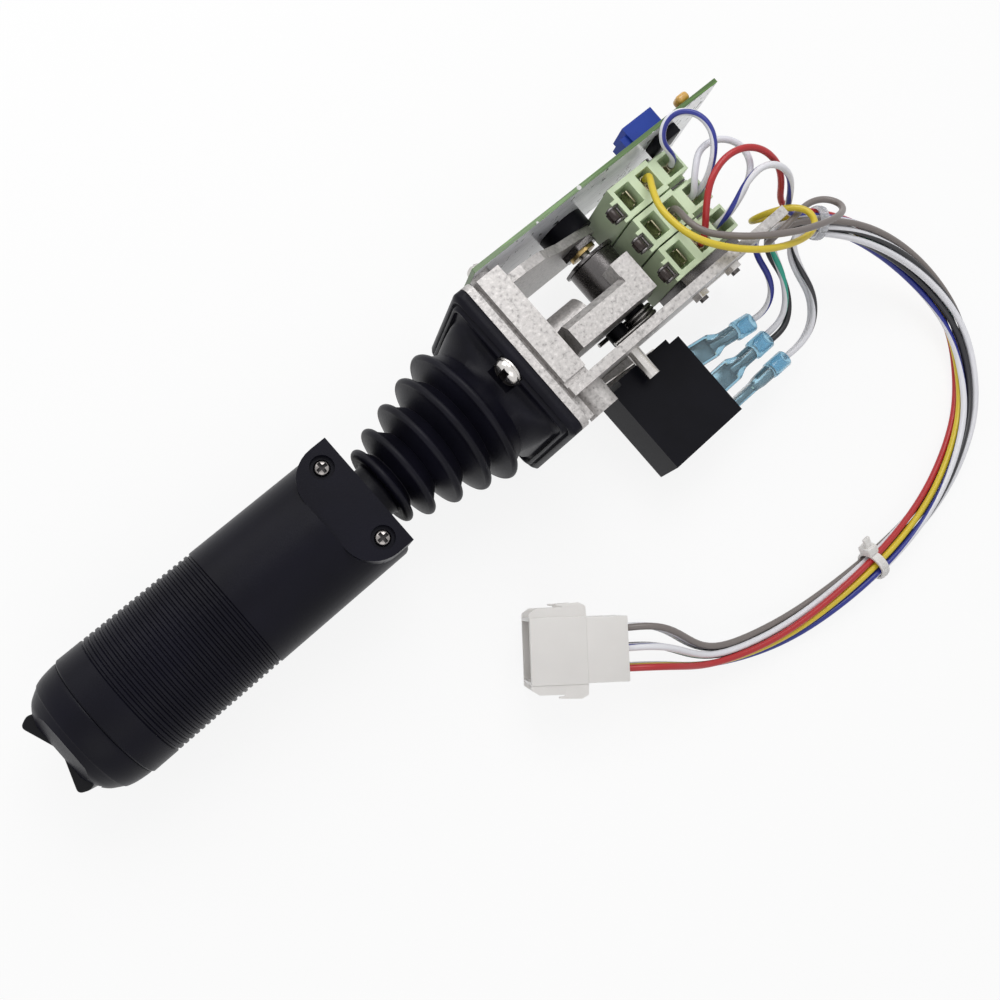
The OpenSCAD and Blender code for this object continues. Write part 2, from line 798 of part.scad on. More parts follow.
module arm_side() {
    polygon([[-arm_x0, -socket_d / 2], [-arm_x0, arm_top], [-pivot_x - head_back, arm_top],
        [-pivot_x - arm_back, 0], [-pivot_x, -hub_d / 2]]);
    translate([-pivot_x, 0])
        circle(d = hub_d);
}

module arm() {
    color([0.70, 0.68, 0.66])
        difference() {
            union() {
                slab_y(arm_y0, arm_y1)
                    arm_side();
                intersection() {
                    box([-pivot_x - head_back, head_y0, head_z0], [-pivot_x + head_front, head_y1, arm_top]);
                    translate(pivot)
                        bar_y(head_y0 - 1, head_y1 + 1, 2 * cam_r);
                }
                bar_x(-arm_x0, -arm_x0 - socket_l, socket_d);
            }
            translate(pivot)
                bar_y(head_y0 - 1, head_y1 + 1, pivot_d + 2 * fit);
            bar_x(-arm_x0 + 1, rod_x0, rod_d + 2 * fit);
            translate([-arm_x0, arm_y0, arm_top])
                rotate([45, 0, 0])
                    cube([2 * (pivot_x - arm_x0 - head_front), chamfer, chamfer], center = true);
        }
}

module hub() {
    color([0.20, 0.20, 0.21])
        translate(pivot)
            difference() {
                bar_y(hub_y0, arm_y0, hub_d);
                bar_y(hub_y0 - 1, arm_y0 + 1, pivot_d + 2 * fit);
            }
}

module hub_plate() {
    color([0.24, 0.24, 0.25])
        translate(pivot)
            difference() {
                slab_y(hub_y0 - hub_plate_t, hub_y0)
                    round_square(hub_plate_w, hub_plate_w, hub_plate_r);
                bar_y(hub_y0 - hub_plate_t - 1, hub_y0 + 1, pivot_d + 2 * fit);
            }
}

module pivot_shaft() {
    color([0.60, 0.60, 0.60])
        translate(pivot) {
            bar_y(hub_y0 - hub_plate_t - gap, rail_y - gap, pivot_d);
            bar_y(-wall_y - wall_t + gap, hub_y0 - hub_plate_t, sensor_shaft_d);
        }
}

module pivot_spacer() {
    color([0.10, 0.10, 0.11])
        translate(pivot)
            difference() {
                bar_y(arm_y1, rail_in - gap, spacer_d);
                bar_y(arm_y1 - 1, rail_in + 1, pivot_d + 2 * fit);
            }
}

// Grip, cap and rocker

function groove_x(i) = grip_x + grip_l - groove_end - groove_pitch * i;

module grip() {
    r = grip_d / 2;
    rings = [for (i = [0:groove_n - 1]) for (p = [[0.3, 0], [0.12, 1], [-0.12, 1], [-0.3, 0]])
        [groove_x(i) + groove_pitch * p.x, r - groove_h * p.y]];
    color([0.09, 0.09, 0.10])
        difference() {
            union() {
                turn_x(concat([[grip_x + grip_l, 0], [grip_x + grip_l, r - seam_h], [grip_x + grip_l - 0.5, r]], rings,
                    [[grip_x + edge_r, r], [grip_x + edge_r * 0.3, r - edge_r * 0.3], [grip_x, r - edge_r],
                        [grip_x, 0]]));
                linear_extrude(2 * flat_z, center = true)
                    flat_outline();
            }
            bar_x(collar_x1 - fit, grip_x + grip_l + 1, 2 * grip_bore_r);
            bar_x(grip_x - 1, grip_x + grip_end_wall + 1, rod_d + 2 * fit);
            box([grip_x + grip_end_wall, -core_w / 2 - fit, -core_h / 2 - fit],
                [collar_x1, core_w / 2 + fit, core_h / 2 + fit]);
            for (s = [-1, 1])
                scale([1, 1, s]) {
                    translate([0, 0, flat_z])
                        linear_extrude(grip_d)
                            flat_outline();
                    for (y = [-1, 1])
                        translate([flat_screw_x, y * flat_screw_pitch / 2, 0]) {
                            bar_z(core_h / 2 - 1, flat_z + 1, flat_screw_d + 2 * fit);
                            bar_z(flat_z - flat_sink, flat_z + 1, flat_head_d + 2 * gap);
                        }
                }
        }
}

// Outline of the two flats near the lower end
module flat_outline() {
    c = [grip_x + flat_l - flat_r, flat_w / 2 - flat_r];
    polygon(concat([[grip_x, -flat_w / 2]],
        [for (a = [-90:flat_step:0]) [c.x + flat_r * cos(a), flat_r * sin(a) - c.y]],
        [for (a = [0:flat_step:90]) [c.x + flat_r * cos(a), flat_r * sin(a) + c.y]],
        [[grip_x, flat_w / 2]]));
}

module grip_core() {
    color([0.60, 0.60, 0.60])
        difference() {
            box([grip_x + grip_end_wall, -core_w / 2, -core_h / 2], [collar_x1 - gap, core_w / 2, core_h / 2]);
            bar_x(grip_x, collar_x1 + 1, rod_d + 2 * fit);
            for (s = [-1, 1], y = [-1, 1])
                translate([flat_screw_x, y * flat_screw_pitch / 2, 0])
                    bar_z(s * (core_h / 2 + 1), s * (core_h / 2 - flat_screw_in - gap), flat_screw_d + 2 * fit);
        }
}

module flat_screws() {
    color([0.45, 0.45, 0.47])
        for (s = [-1, 1], y = [-1, 1])
            translate([flat_screw_x, y * flat_screw_pitch / 2, s * (flat_z - flat_sink)])
                rotate([0, -90 * s, 0])
                    difference() {
                        dome_screw(flat_screw_d, flat_head_d, flat_head_h,
                            flat_z - flat_sink - core_h / 2 + flat_screw_in);
                        cross_recess(flat_head_h - recess_h, flat_head_h + 1, flat_head_d * 0.6);
                    }
}

module grip_cap() {
    x0 = grip_x + grip_l;
    r = grip_d / 2 - seam_h;
    color([0.10, 0.10, 0.11])
        difference() {
            turn_x([[x0 - spigot_l, 0], [x0 - spigot_l, grip_bore_r - fit], [x0, grip_bore_r - fit], [x0, r],
                [x0 + cap_l * 0.25, r - 0.6], [x0 + cap_l * 0.5, r - 1.6], [x0 + cap_l * 0.52, r - 2.1],
                [x0 + cap_l * 0.72, r - 4], [x0 + cap_l * 0.88, r - 6.6], [x0 + cap_l * 0.96, r - 9.2],
                [x0 + cap_l, r - 12.4], [x0 + cap_l, 0]]);
            box([rocker_x - rocker_floor, -rocker_w / 2 - rocker_gap, -rocker_t / 2 - gap],
                [x0 + cap_l + 1, rocker_w / 2 + rocker_gap, rocker_t / 2 + gap]);
            translate([rocker_x, 0, 0])
                bar_z(-rocker_pin_l / 2 - fit, rocker_pin_l / 2 + fit, rocker_pin_d + 2 * fit);
            box([x0 - spigot_l - 1, -thumb_w / 2 - fit, -thumb_t / 2 - fit],
                [rocker_x - rocker_floor + 1, thumb_w / 2 + fit, thumb_t / 2 + fit]);
        }
}

module rocker() {
    x1 = grip_x + grip_l + cap_l + rocker_l;
    w = rocker_w / 2;
    color([0.09, 0.09, 0.10])
        difference() {
            translate([0, 0, -rocker_t / 2])
                linear_extrude(rocker_t)
                    union() {
                        polygon([[rocker_x + 2, -w + 1.2], [x1 - 3, -w], [x1 - 0.7, -w + 0.3], [x1, -w + 1.4],
                            [x1 - 0.5, -w + 2.6], [x1 - rocker_dip, -1.2], [x1 - rocker_dip, 1.2],
                            [x1 - 0.5, w - 2.6], [x1, w - 1.4], [x1 - 0.7, w - 0.3], [x1 - 3, w],
                            [rocker_x + 2, w - 1.2]]);
                        translate([rocker_x, 0])
                            circle(r = rocker_hub_r);
                    }
            translate([rocker_x, 0, 0])
                bar_z(-rocker_t, rocker_t, rocker_pin_d + 2 * fit);
        }
}

module rocker_pin() {
    color([0.75, 0.75, 0.75])
        translate([rocker_x, 0, 0])
            bar_z(-rocker_pin_l / 2, rocker_pin_l / 2, rocker_pin_d);
}

module thumb_switch() {
    color([0.15, 0.15, 0.16])
        box([grip_x + grip_l - spigot_l, -thumb_w / 2, -thumb_t / 2],
            [rocker_x - rocker_floor - gap, thumb_w / 2, thumb_t / 2]);
}

// Cam switches: i counts from the board to the rail

function switch_y(i) = rail_in - strip_t - switch_t / 2 - switch_pitch * (2 - i);

module switch_housing(i) {
    color([0.66, 0.74, 0.60])
        translate([0, switch_y(i), 0])
            difference() {
                union() {
                    box([switch_x0, -switch_t / 2, switch_z0], [switch_x0 - front_l, switch_t / 2, switch_top]);
                    box([switch_x0, -switch_t / 2, switch_z0], [switch_x0 - switch_l, switch_t / 2, strip_top - 1]);
                    box([switch_x0, -rear_w / 2, switch_z0],
                        [switch_x0 - switch_l, rear_w / 2, switch_top - rear_step]);
                    for (s = [-1, 1])
                        box([switch_x0 - 1, roller_off + s * cheek_in, cheek_z0],
                            [switch_x0 + cheek_l, roller_off + s * (cheek_in + cheek_t), switch_top]);
                }
                for (way = ways)
                    box([way[0], -way_w / 2, switch_top - way_h], [way[0] - way[1], way_w / 2, switch_top + 1]);
                box([rear_way, -rear_way_w / 2, switch_top - rear_step - way_h],
                    [rear_way - rear_way_l, rear_way_w / 2, switch_top - rear_step + 1]);
                for (x = switch_screw_x)
                    translate([x, 0, switch_screw_z])
                        bar_y(-switch_t, switch_t, switch_screw_d + 2 * fit);
                translate([hinge_x, 0, hinge_z])
                    bar_y(roller_off - cheek_in - cheek_t - 1, roller_off + cheek_in + cheek_t + 1, axle_d + 2 * fit);
            }
}

module switch_housing_1() {
    switch_housing(0);
}

module switch_housing_2() {
    switch_housing(1);
}

module switch_housing_3() {
    switch_housing(2);
}

module switch_blades() {
    color([0.80, 0.74, 0.55])
        for (i = [0:2])
            translate([blade_x, switch_y(i), switch_top - way_h])
                box([-blade_t / 2, -blade_w / 2, 0], [blade_t / 2, blade_w / 2, way_h - blade_down]);
}

module switch_crimps() {
    color([0.85, 0.80, 0.66])
        for (i = [0:2]) {
            translate([front_x, switch_y(i) + crimp_dy[i], 0])
                bar_z(switch_top - way_h, crimp_top, crimp_d);
            translate([rear_x, switch_y(i), 0])
                box([-rear_crimp_l / 2, -crimp_d / 2, switch_top - rear_step - way_h],
                    [rear_crimp_l / 2, crimp_d / 2, rear_top]);
        }
}

module switch_strips() {
    y = [switch_y(0) + switch_t / 2, switch_y(1) - switch_t / 2, switch_y(1) + switch_t / 2,
        switch_y(2) - switch_t / 2, switch_y(2) + switch_t / 2, rail_in];
    color([0.22, 0.22, 0.23])
        for (i = [0, 2, 4])
            difference() {
                box([switch_x0 - 2, y[i], switch_z0 + 2], [switch_x0 - switch_l + 1, y[i + 1], strip_top]);
                for (x = switch_screw_x)
                    translate([x, 0, switch_screw_z])
                        bar_y(y[i] - 1, y[i + 1] + 1, switch_screw_d + 2 * fit);
            }
}

module switch_screws() {
    y = switch_y(0) - switch_t / 2;
    color([0.35, 0.30, 0.30])
        for (x = switch_screw_x)
            translate([x, 0, switch_screw_z]) {
                bar_y(y, rail_y + switch_nut_t + screw_out, switch_screw_d);
                bar_y(y - switch_head_h, y, switch_head_d);
            }
}

module switch_nuts() {
    color([0.75, 0.74, 0.72])
        for (x = switch_screw_x)
            translate([x, 0, switch_screw_z])
                difference() {
                    slab_y(rail_y, rail_y + switch_nut_t)
                        circle(d = switch_nut_w / cos(30), $fn = 6);
                    bar_y(rail_y - 1, rail_y + switch_nut_t + 1, switch_screw_d + 2 * fit);
                }
}

module roller_lever(i) {
    y = switch_y(i) + roller_off;
    turn = atan2(roller_z - hinge_z, roller_x - hinge_x);
    reach = norm([roller_x - hinge_x, roller_z - hinge_z]);
    color([0.25, 0.23, 0.23])
        union() {
            translate([hinge_x, y, hinge_z]) {
                bar_y(-cheek_in + fit, cheek_in - fit, lever_hub_d);
                bar_y(-cheek_in - cheek_t, cheek_in + cheek_t, axle_d);
            }
            for (s = [-1, 1])
                translate([hinge_x, y + s * (roller_w / 2 + fit + fork_t / 2), hinge_z])
                    rotate([0, -turn, 0])
                        translate([reach / 2, 0, 0])
                            cube([reach, fork_t, lever_hub_d - 0.4], center = true);
            translate([roller_x, y, roller_z])
                bar_y(-roller_w / 2 - fit - fork_t, roller_w / 2 + fit + fork_t, axle_d);
        }
    color([0.10, 0.10, 0.11])
        translate([roller_x, y, roller_z])
            difference() {
                bar_y(-roller_w / 2, roller_w / 2, 2 * roller_r);
                bar_y(-roller_w, roller_w, axle_d + 2 * fit);
            }
}

module roller_lever_1() {
    roller_lever(0);
}

module roller_lever_2() {
    roller_lever(1);
}

module roller_lever_3() {
    roller_lever(2);
}

// Limit switch with its leaf, blades and insulated terminals

module limit_switch() {
    color([0.11, 0.11, 0.12])
        difference() {
            union() {
                box([limit_x0, limit_y0, limit_z1 - limit_t], [limit_x0 - limit_l, limit_y0 + limit_w, limit_z1]);
                box([limit_x0 - limit_step_in, limit_y0 - limit_step, limit_z1 - limit_t + 1],
                    [limit_x0 - limit_l + limit_step_in, limit_y0, limit_z1]);
            }
            for (x = limit_screw_x)
                translate([x, limit_screw_y, 0])
                    bar_z(limit_z1 - limit_t - 1, limit_z1 - limit_t + limit_screw_l, limit_screw_d + 2 * fit);
            for (i = [0:2])
                limit_blade(i, fit);
            translate([leaf_x, leaf_y, 0]) {
                bar_z(leaf_z0 - gap, leaf_z1 + gap, 2 * leaf_hub_r + 2 * gap);
                bar_z(leaf_z0 - leaf_pin_in, leaf_z1 + leaf_pin_in, axle_d + 2 * fit);
                box([0, -leaf_hub_r - gap, leaf_z0 - gap], [limit_step_in, 0, leaf_z1 + gap]);
            }
        }
}

module limit_pin() {
    color([0.75, 0.75, 0.75])
        translate([leaf_x, leaf_y, 0])
            bar_z(leaf_z0 - leaf_pin_in + fit, leaf_z1 + leaf_pin_in - fit, axle_d);
}

module limit_leaf() {
    color([0.82, 0.80, 0.76])
        translate([leaf_x, leaf_y, 0])
            rotate([0, 0, -leaf_open])
                difference() {
                    union() {
                        bar_z(leaf_z0, leaf_z1, 2 * leaf_hub_r);
                        box([0, -leaf_hub_r, leaf_z0], [leaf_l, -leaf_hub_r + leaf_t, leaf_z1]);
                        translate([leaf_l, -leaf_hub_r + leaf_tip_r, 0])
                            bar_z(leaf_z0, leaf_z1, 2 * leaf_tip_r);
                    }
                    bar_z(leaf_z0 - 1, leaf_z1 + 1, axle_d + 2 * fit);
                }
}

module limit_screws() {
    color([0.70, 0.70, 0.70])
        for (x = limit_screw_x)
            translate([x, limit_screw_y, shelf_z0])
                rotate([0, 90, 0])
                    dome_screw(limit_screw_d, limit_head_d, limit_head_h, shelf_t + limit_screw_l - gap);
}

// Blade i of the limit switch, grown by a clearance all round
module limit_blade(i, grow) {
    translate([limit_x0 - limit_l, terminal_y[i], terminal_z])
        rotate([terminal_roll[i], 0, -terminal_yaw[i]])
            box([blade_root + grow, -limit_blade_w / 2 - grow, -blade_t / 2 - grow],
                [-limit_blade_l, limit_blade_w / 2 + grow, blade_t / 2 + grow]);
}

module limit_blades() {
    color([0.78, 0.60, 0.42])
        for (i = [0:2])
            limit_blade(i, 0);
}

// Outline of an insulated terminal, from its mouth at the origin towards -X
module terminal_outline() {
    h = terminal_w / 2;
    e = mouth_end_h;
    polygon([[0, h], [0, -h], [-terminal_l * 0.38, -h], [-terminal_l * 0.47, -neck_h], [-terminal_l * 0.74, -neck_h],
        [-terminal_l * 0.78, -e], [-terminal_l, -e], [-terminal_l, e], [-terminal_l * 0.78, e],
        [-terminal_l * 0.74, neck_h], [-terminal_l * 0.47, neck_h], [-terminal_l * 0.38, h]]);
}

module blue_terminals() {
    color([0.42, 0.66, 0.78])
        for (i = [0:2])
            translate([limit_x0 - limit_l, terminal_y[i], terminal_z])
                rotate([terminal_roll[i], 0, -terminal_yaw[i]])
                    translate([-terminal_gap, 0, 0])
                        difference() {
                            translate([0, 0, -terminal_t / 2])
                                linear_extrude(terminal_t)
                                    terminal_outline();
                            box([1, -limit_blade_w / 2 - fit, -blade_t / 2 - fit],
                                [-limit_blade_l + terminal_gap - fit, limit_blade_w / 2 + fit, blade_t / 2 + fit]);
                        }
}

// Wires

function unit(v) = v / norm(v);
function curve_at(a, b, c, d, t) =
    0.5 * (2 * b + (c - a) * t + (2 * a - 5 * b + 4 * c - d) * t * t + (3 * b - a - 3 * c + d) * t * t * t);
function smoothed(p, n) = concat(
    [for (i = [0:len(p) - 2]) for (k = [0:n - 1])
        curve_at(p[max(i - 1, 0)], p[i], p[i + 1], p[min(i + 2, len(p) - 1)], k / n)],
    [p[len(p) - 1]]);
function along(p, i) = unit(p[min(i + 1, len(p) - 1)] - p[max(i - 1, 0)]);
function ring_at(p, i, r, n) =
    let (d = along(p, i), s = unit(cross(d, ring_ref)), u = cross(s, d))
        [for (k = [0:n - 1]) p[i] + r * (s * cos(360 * k / n) + u * sin(360 * k / n))];

// A tube swept along a list of points
module tube(points, d) {
    p = smoothed(points, curve_steps);
    n = wire_sides;
    rings = [for (i = [0:len(p) - 1]) each ring_at(p, i, d / 2, n)];
    m = len(p);
    polyhedron(points = rings, faces = concat(
        [[for (k = [0:n - 1]) n - 1 - k]],
        [for (i = [0:m - 2]) for (k = [0:n - 1])
            [i * n + k, i * n + (k + 1) % n, (i + 1) * n + (k + 1) % n, (i + 1) * n + k]],
        [[for (k = [0:n - 1]) (m - 1) * n + k]]));
}

// A point of the harness: slot is the wire's place in the bundle, side then up
function harness_at(i, slot) =
    let (d = along(harness, i), s = unit(cross(d, [0, 0, 1])), u = cross(s, d), a = twist * i,
        q = bundle_pitch * [slot.x * cos(a) - slot.y * sin(a), slot.x * sin(a) + slot.y * cos(a)])
        harness[i] + s * q.x + u * q.y;
function turned(v) =
    let (r = [v.x, v.y * cos(plug_roll) - v.z * sin(plug_roll), v.y * sin(plug_roll) + v.z * cos(plug_roll)],
        w = [r.x * cos(plug_tilt) - r.z * sin(plug_tilt), r.y, r.x * sin(plug_tilt) + r.z * cos(plug_tilt)])
        [w.x * cos(plug_yaw) - w.y * sin(plug_yaw), w.x * sin(plug_yaw) + w.y * cos(plug_yaw), w.z];
function plug_way(slot, out) = plug_at + turned([out, slot.x * plug_pitch, slot.y * plug_pitch]);
function wire_path(start, first, slot) = concat(start,
    [for (i = [first:len(harness) - 1]) harness_at(i, slot)],
    [plug_way(slot, plug_lead), plug_way(slot, 0)]);

module harness_wire(i) {
    color(wire_colors[i])
        tube(wire_path(wire_starts[i], wire_first[i], wire_slots[i]), wire_d);
}

module wire_red() {
    harness_wire(0);
}

module wire_white_blue() {
    harness_wire(1);
}

module wire_yellow() {
    harness_wire(2);
}

module wire_grey() {
    harness_wire(3);
}

module wire_blue_stripe() {
    harness_wire(4);
}

module wire_black() {
    harness_wire(5);
}

module wire_yellow_stripe() {
    harness_wire(6);
}

module wire_black_stripe() {
    harness_wire(7);
}

module wire_white() {
    harness_wire(8);
}

module jumper_blue() {
    color([0.80, 0.80, 0.84])
        tube(jumper_blue_route, wire_d);
}

module jumper_white() {
    color([0.82, 0.81, 0.84])
        tube(jumper_white_route, wire_d);
}

// Cable tie around the harness, on past one of its points, with its head turned to the side by roll
module tie(i, on, roll) {
    d = along(harness, i);
    translate(harness[i] + on * unit(harness[i + 1] - harness[i]))
        rotate([0, 0, atan2(d.y, d.x)])
            rotate([0, -asin(d.z), 0])
                rotate([roll, 0, 0])
                    difference() {
                        union() {
                            bar_x(-tie_w / 2, tie_w / 2, 2 * (tie_r + tie_t));
                            box([-tie_w / 2 - tie_lip, -tie_head / 2, tie_r + tie_t / 2],
                                [tie_w / 2 + tie_lip, tie_head / 2, tie_r + tie_t + tie_head * 0.6]);
                            box([-tie_w / 2, 0, tie_r + tie_t], [tie_w / 2, tie_t, tie_r + tie_t + tie_tail]);
                        }
                        bar_x(-tie_w, tie_w, 2 * tie_r);
                    }
}

module cable_ties() {
    color([0.86, 0.87, 0.90])
        tie(clear_tie_i, clear_on, clear_roll);
    color([0.93, 0.93, 0.93])
        tie(white_tie_i, white_on, white_roll);
}

// Connector

module plug_frame() {
    translate(plug_at)
        rotate([plug_roll, -plug_tilt, plug_yaw])
            children();
}

module connector() {
    h = plug_w / 2;
    color([0.93, 0.92, 0.91])
        plug_frame()
            difference() {
                union() {
                    box([-plug_l, -h, -h], [-plug_rear, h, h]);
                    box([-plug_rear, -h + rear_in, -h + rear_in], [0, h - rear_in, h - rear_in]);
                    for (sy = [-1, 1], sz = [-1, 1]) {
                        box([-plug_l, sy * h, sz * (h - ear_h)], [-plug_rear, sy * (h + ear_w), sz * h]);
                        box([-plug_rear - ear_l, sy * h, sz * (h - ear_h)],
                            [-plug_rear, sy * (h + ear_w + latch_w), sz * h]);
                    }
                }
                box([-plug_l - 1, -h + plug_wall, -h + plug_wall], [-plug_l + plug_mouth, h - plug_wall, h - plug_wall]);
                for (a = [-1:1], b = [-1:1])
                    translate([0, a * plug_pitch, b * plug_pitch])
                        bar_x(-plug_l, -plug_rear, contact_d + 2 * fit);
            }
}

module plug_contacts() {
    color([0.80, 0.70, 0.42])
        plug_frame()
            for (a = [-1:1], b = [-1:1])
                translate([0, a * plug_pitch, b * plug_pitch])
                    bar_x(-plug_l + 2, -plug_rear, contact_d);
}

casting();
boot();
flange_screws();
flange_washers();
circuit_board();
board_screws();
trimmer();
trimmer_screw();
board_parts();
sensor();
sensor_bush();
sensor_nut();
rail_bush();
centring_post();
post_sleeve();
centring_spring();
lever_rod();
arm();
hub();
hub_plate();
pivot_shaft();
pivot_spacer();
grip();
grip_core();
flat_screws();
grip_cap();
rocker();
rocker_pin();
thumb_switch();
switch_housing_1();
switch_housing_2();
switch_housing_3();
switch_blades();
switch_crimps();
switch_strips();
switch_screws();
switch_nuts();
roller_lever_1();
roller_lever_2();
roller_lever_3();
limit_switch();
limit_pin();
limit_leaf();
limit_screws();
limit_blades();
blue_terminals();
wire_red();
wire_white_blue();
wire_yellow();
wire_grey();
wire_blue_stripe();
wire_black();
wire_yellow_stripe();
wire_black_stripe();
wire_white();
jumper_blue();
jumper_white();
cable_ties();
connector();
plug_contacts();
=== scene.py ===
"""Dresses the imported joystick: cords, boot, grip, board, switches, connector and the studio round them.

Sizes in the classes are in millimetres and are turned into metres where a mesh is made. The frame is the
part's own: +X runs to the grip's end, +Y to the limit switch, +Z is up, and the origin is the middle of
the metal flange's front face.
"""
import logging
import math
from dataclasses import dataclass, field
from enum import Enum

import bmesh
import bpy
from mathutils import Euler, Matrix, Vector


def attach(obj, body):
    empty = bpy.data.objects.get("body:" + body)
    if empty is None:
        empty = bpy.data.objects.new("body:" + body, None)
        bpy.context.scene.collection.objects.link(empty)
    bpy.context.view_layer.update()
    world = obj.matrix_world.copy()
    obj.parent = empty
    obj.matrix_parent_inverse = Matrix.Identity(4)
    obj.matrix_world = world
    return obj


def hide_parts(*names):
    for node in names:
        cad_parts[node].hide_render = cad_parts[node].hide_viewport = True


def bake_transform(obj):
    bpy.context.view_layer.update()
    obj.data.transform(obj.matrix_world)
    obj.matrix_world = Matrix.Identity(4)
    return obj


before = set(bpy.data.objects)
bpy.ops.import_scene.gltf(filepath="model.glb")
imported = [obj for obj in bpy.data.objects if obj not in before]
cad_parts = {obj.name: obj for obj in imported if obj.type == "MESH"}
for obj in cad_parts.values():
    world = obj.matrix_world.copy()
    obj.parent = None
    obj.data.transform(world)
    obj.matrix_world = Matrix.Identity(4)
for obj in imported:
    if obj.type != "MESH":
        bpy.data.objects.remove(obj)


LOG = logging.getLogger("joystick")
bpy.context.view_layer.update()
MM = 0.001
MERGED_WITHIN = 1e-5  # millimetres; corners of one shape that lie closer become one
NODE_MERGED_WITHIN = 0.00001  # metres; the same for a CAD node's mesh
ROUNDED_FROM = 28.0  # degrees between two faces from which a shape's edge is rounded
NODE_ROUNDED_FROM = 40.0  # degrees; the same for a CAD node's edge
SMOOTH_UP_TO = 35.0  # degrees between two faces up to which they are shaded as one
SIDES = (-1, 1)
Pair = tuple[float, float]
Point = tuple[float, float, float]
Section = tuple[float, float, float, float]
Colour = tuple[float, float, float]


class Body(str, Enum):
    """The bodies that new pieces ride on."""

    FRAME = "frame"
    LEVER = "lever"
    ROCKER = "rocker"
    ROLLER_1 = "roller_1"
    ROLLER_2 = "roller_2"
    ROLLER_3 = "roller_3"


class Sum(Enum):
    """What a Math node does."""

    FRACTION = "FRACT"
    LESS = "SUBTRACT"
    SIZE = "ABSOLUTE"


class Blend(Enum):
    """How two colours are mixed."""

    PLAIN = "MIX"
    TIMES = "MULTIPLY"


class NodeChain:
    """Short calls for building one material's nodes."""

    def __init__(self, name: str) -> None:
        """Starts an empty material with a Principled shader.

        Args:
            name: The material's name.
        """
        self.material = bpy.data.materials.new(name)
        self.material.use_nodes = True
        self.tree = self.material.node_tree
        self.shader = self.tree.nodes["Principled BSDF"]
        self.coords = self.tree.nodes.new("ShaderNodeTexCoord")

    def add(self, kind: str, **sockets: object) -> bpy.types.Node:
        """Adds a node and fills its sockets.

        Args:
            kind: The node's type without the ShaderNode prefix.
            **sockets: A value or a socket to join, by the input's name with underscores for spaces.

        Returns:
            The new node.
        """
        node = self.tree.nodes.new("ShaderNode" + kind)
        for name, value in sockets.items():
            self.fill(node.inputs[name.replace("_", " ")], value)
        return node

    def fill(self, socket: bpy.types.NodeSocket, value: object) -> None:
        """Sets or links one socket.

        Args:
            socket: The socket to fill.
            value: A plain value or a socket to join.
        """
        if isinstance(value, bpy.types.NodeSocket):
            self.tree.links.new(value, socket)
        else:
            socket.default_value = value

    def noise(self, scale: float, detail: float = 3.0, stretch: Point = (1, 1, 1)) -> bpy.types.NodeSocket:
        """Gives a noise value over the object's own space.

        Args:
            scale: Grains per metre.
            detail: The noise's octaves.
            stretch: How much the grain is squeezed along each axis.

        Returns:
            The factor socket.
        """
        place = self.add("Mapping", Vector=self.coords.outputs["Object"], Scale=stretch)
        return self.add("TexNoise", Vector=place.outputs["Vector"], Scale=scale, Detail=detail).outputs["Fac"]

    def ramp(self, factor: bpy.types.NodeSocket, stops: list[tuple[float, Colour]]) -> bpy.types.NodeSocket:
        """Turns a factor into a colour.

        Args:
            factor: The socket to read.
            stops: Positions with their colours.

        Returns:
            The colour socket.
        """
        node = self.add("ValToRGB", Fac=factor)
        while len(node.color_ramp.elements) < len(stops):
            node.color_ramp.elements.new(0.5)
        for element, (place, colour) in zip(node.color_ramp.elements, stops):
            element.position = place
            element.color = (*colour, 1)
        return node.outputs["Color"]

    def span(self, factor: bpy.types.NodeSocket, low: float, high: float) -> bpy.types.NodeSocket:
        """Maps a factor from 0..1 to a range.

        Args:
            factor: The socket to read.
            low: The value at 0.
            high: The value at 1.

        Returns:
            The result socket.
        """
        return self.add("MapRange", Value=factor, To_Min=low, To_Max=high).outputs["Result"]

    def edge(self, value: bpy.types.NodeSocket, low: float, high: float) -> bpy.types.NodeSocket:
        """Maps a value to 0 at low and 1 at high, held between them.

        Args:
            value: The socket to read.
            low: Where the result is 0; it may be the greater of the two.
            high: Where the result is 1.

        Returns:
            The result socket.
        """
        return self.add("MapRange", Value=value, From_Min=low, From_Max=high).outputs["Result"]

    def maths(self, operation: Sum, value: bpy.types.NodeSocket, other: float = 0.5) -> bpy.types.NodeSocket:
        """Reckons with a value.

        Args:
            operation: What is done with it.
            value: The socket to read.
            other: The second number, where the operation takes one.

        Returns:
            The result socket.
        """
        node = self.add("Math", Value=value)
        node.operation = operation.value
        node.inputs[1].default_value = other
        return node.outputs["Value"]

    def mix(self, factor: object, first: object, second: object,
            blend: Blend = Blend.PLAIN) -> bpy.types.NodeSocket:
        """Mixes two colours.

        Args:
            factor: A number or a socket; 0 gives the first colour.
            first: A colour or a socket.
            second: A colour or a socket.
            blend: How the two are mixed.

        Returns:
            The colour socket.
        """
        node = self.add("Mix")
        node.data_type = "RGBA"
        node.blend_type = blend.value
        for place, value in ((0, factor), (6, first), (7, second)):
            self.fill(node.inputs[place], value)
        return node.outputs[2]

    def drive(self, socket: str, value: object) -> None:
        """Sets or links the shader's socket of that name."""
        self.fill(self.shader.inputs[socket], value)

    def bump(self, height: bpy.types.NodeSocket, depth: float) -> None:
        """Adds a bump to the shader.

        Args:
            height: The height's socket.
            depth: The relief's depth in metres.
        """
        node = self.add("Bump", Height=height, Distance=depth, Strength=1.0)
        self.tree.links.new(node.outputs["Normal"], self.shader.inputs["Normal"])


def shade(colour: Colour, factor: float) -> Colour:
    """Scales a colour, held below white."""
    return tuple(min(1.0, c * factor) for c in colour)


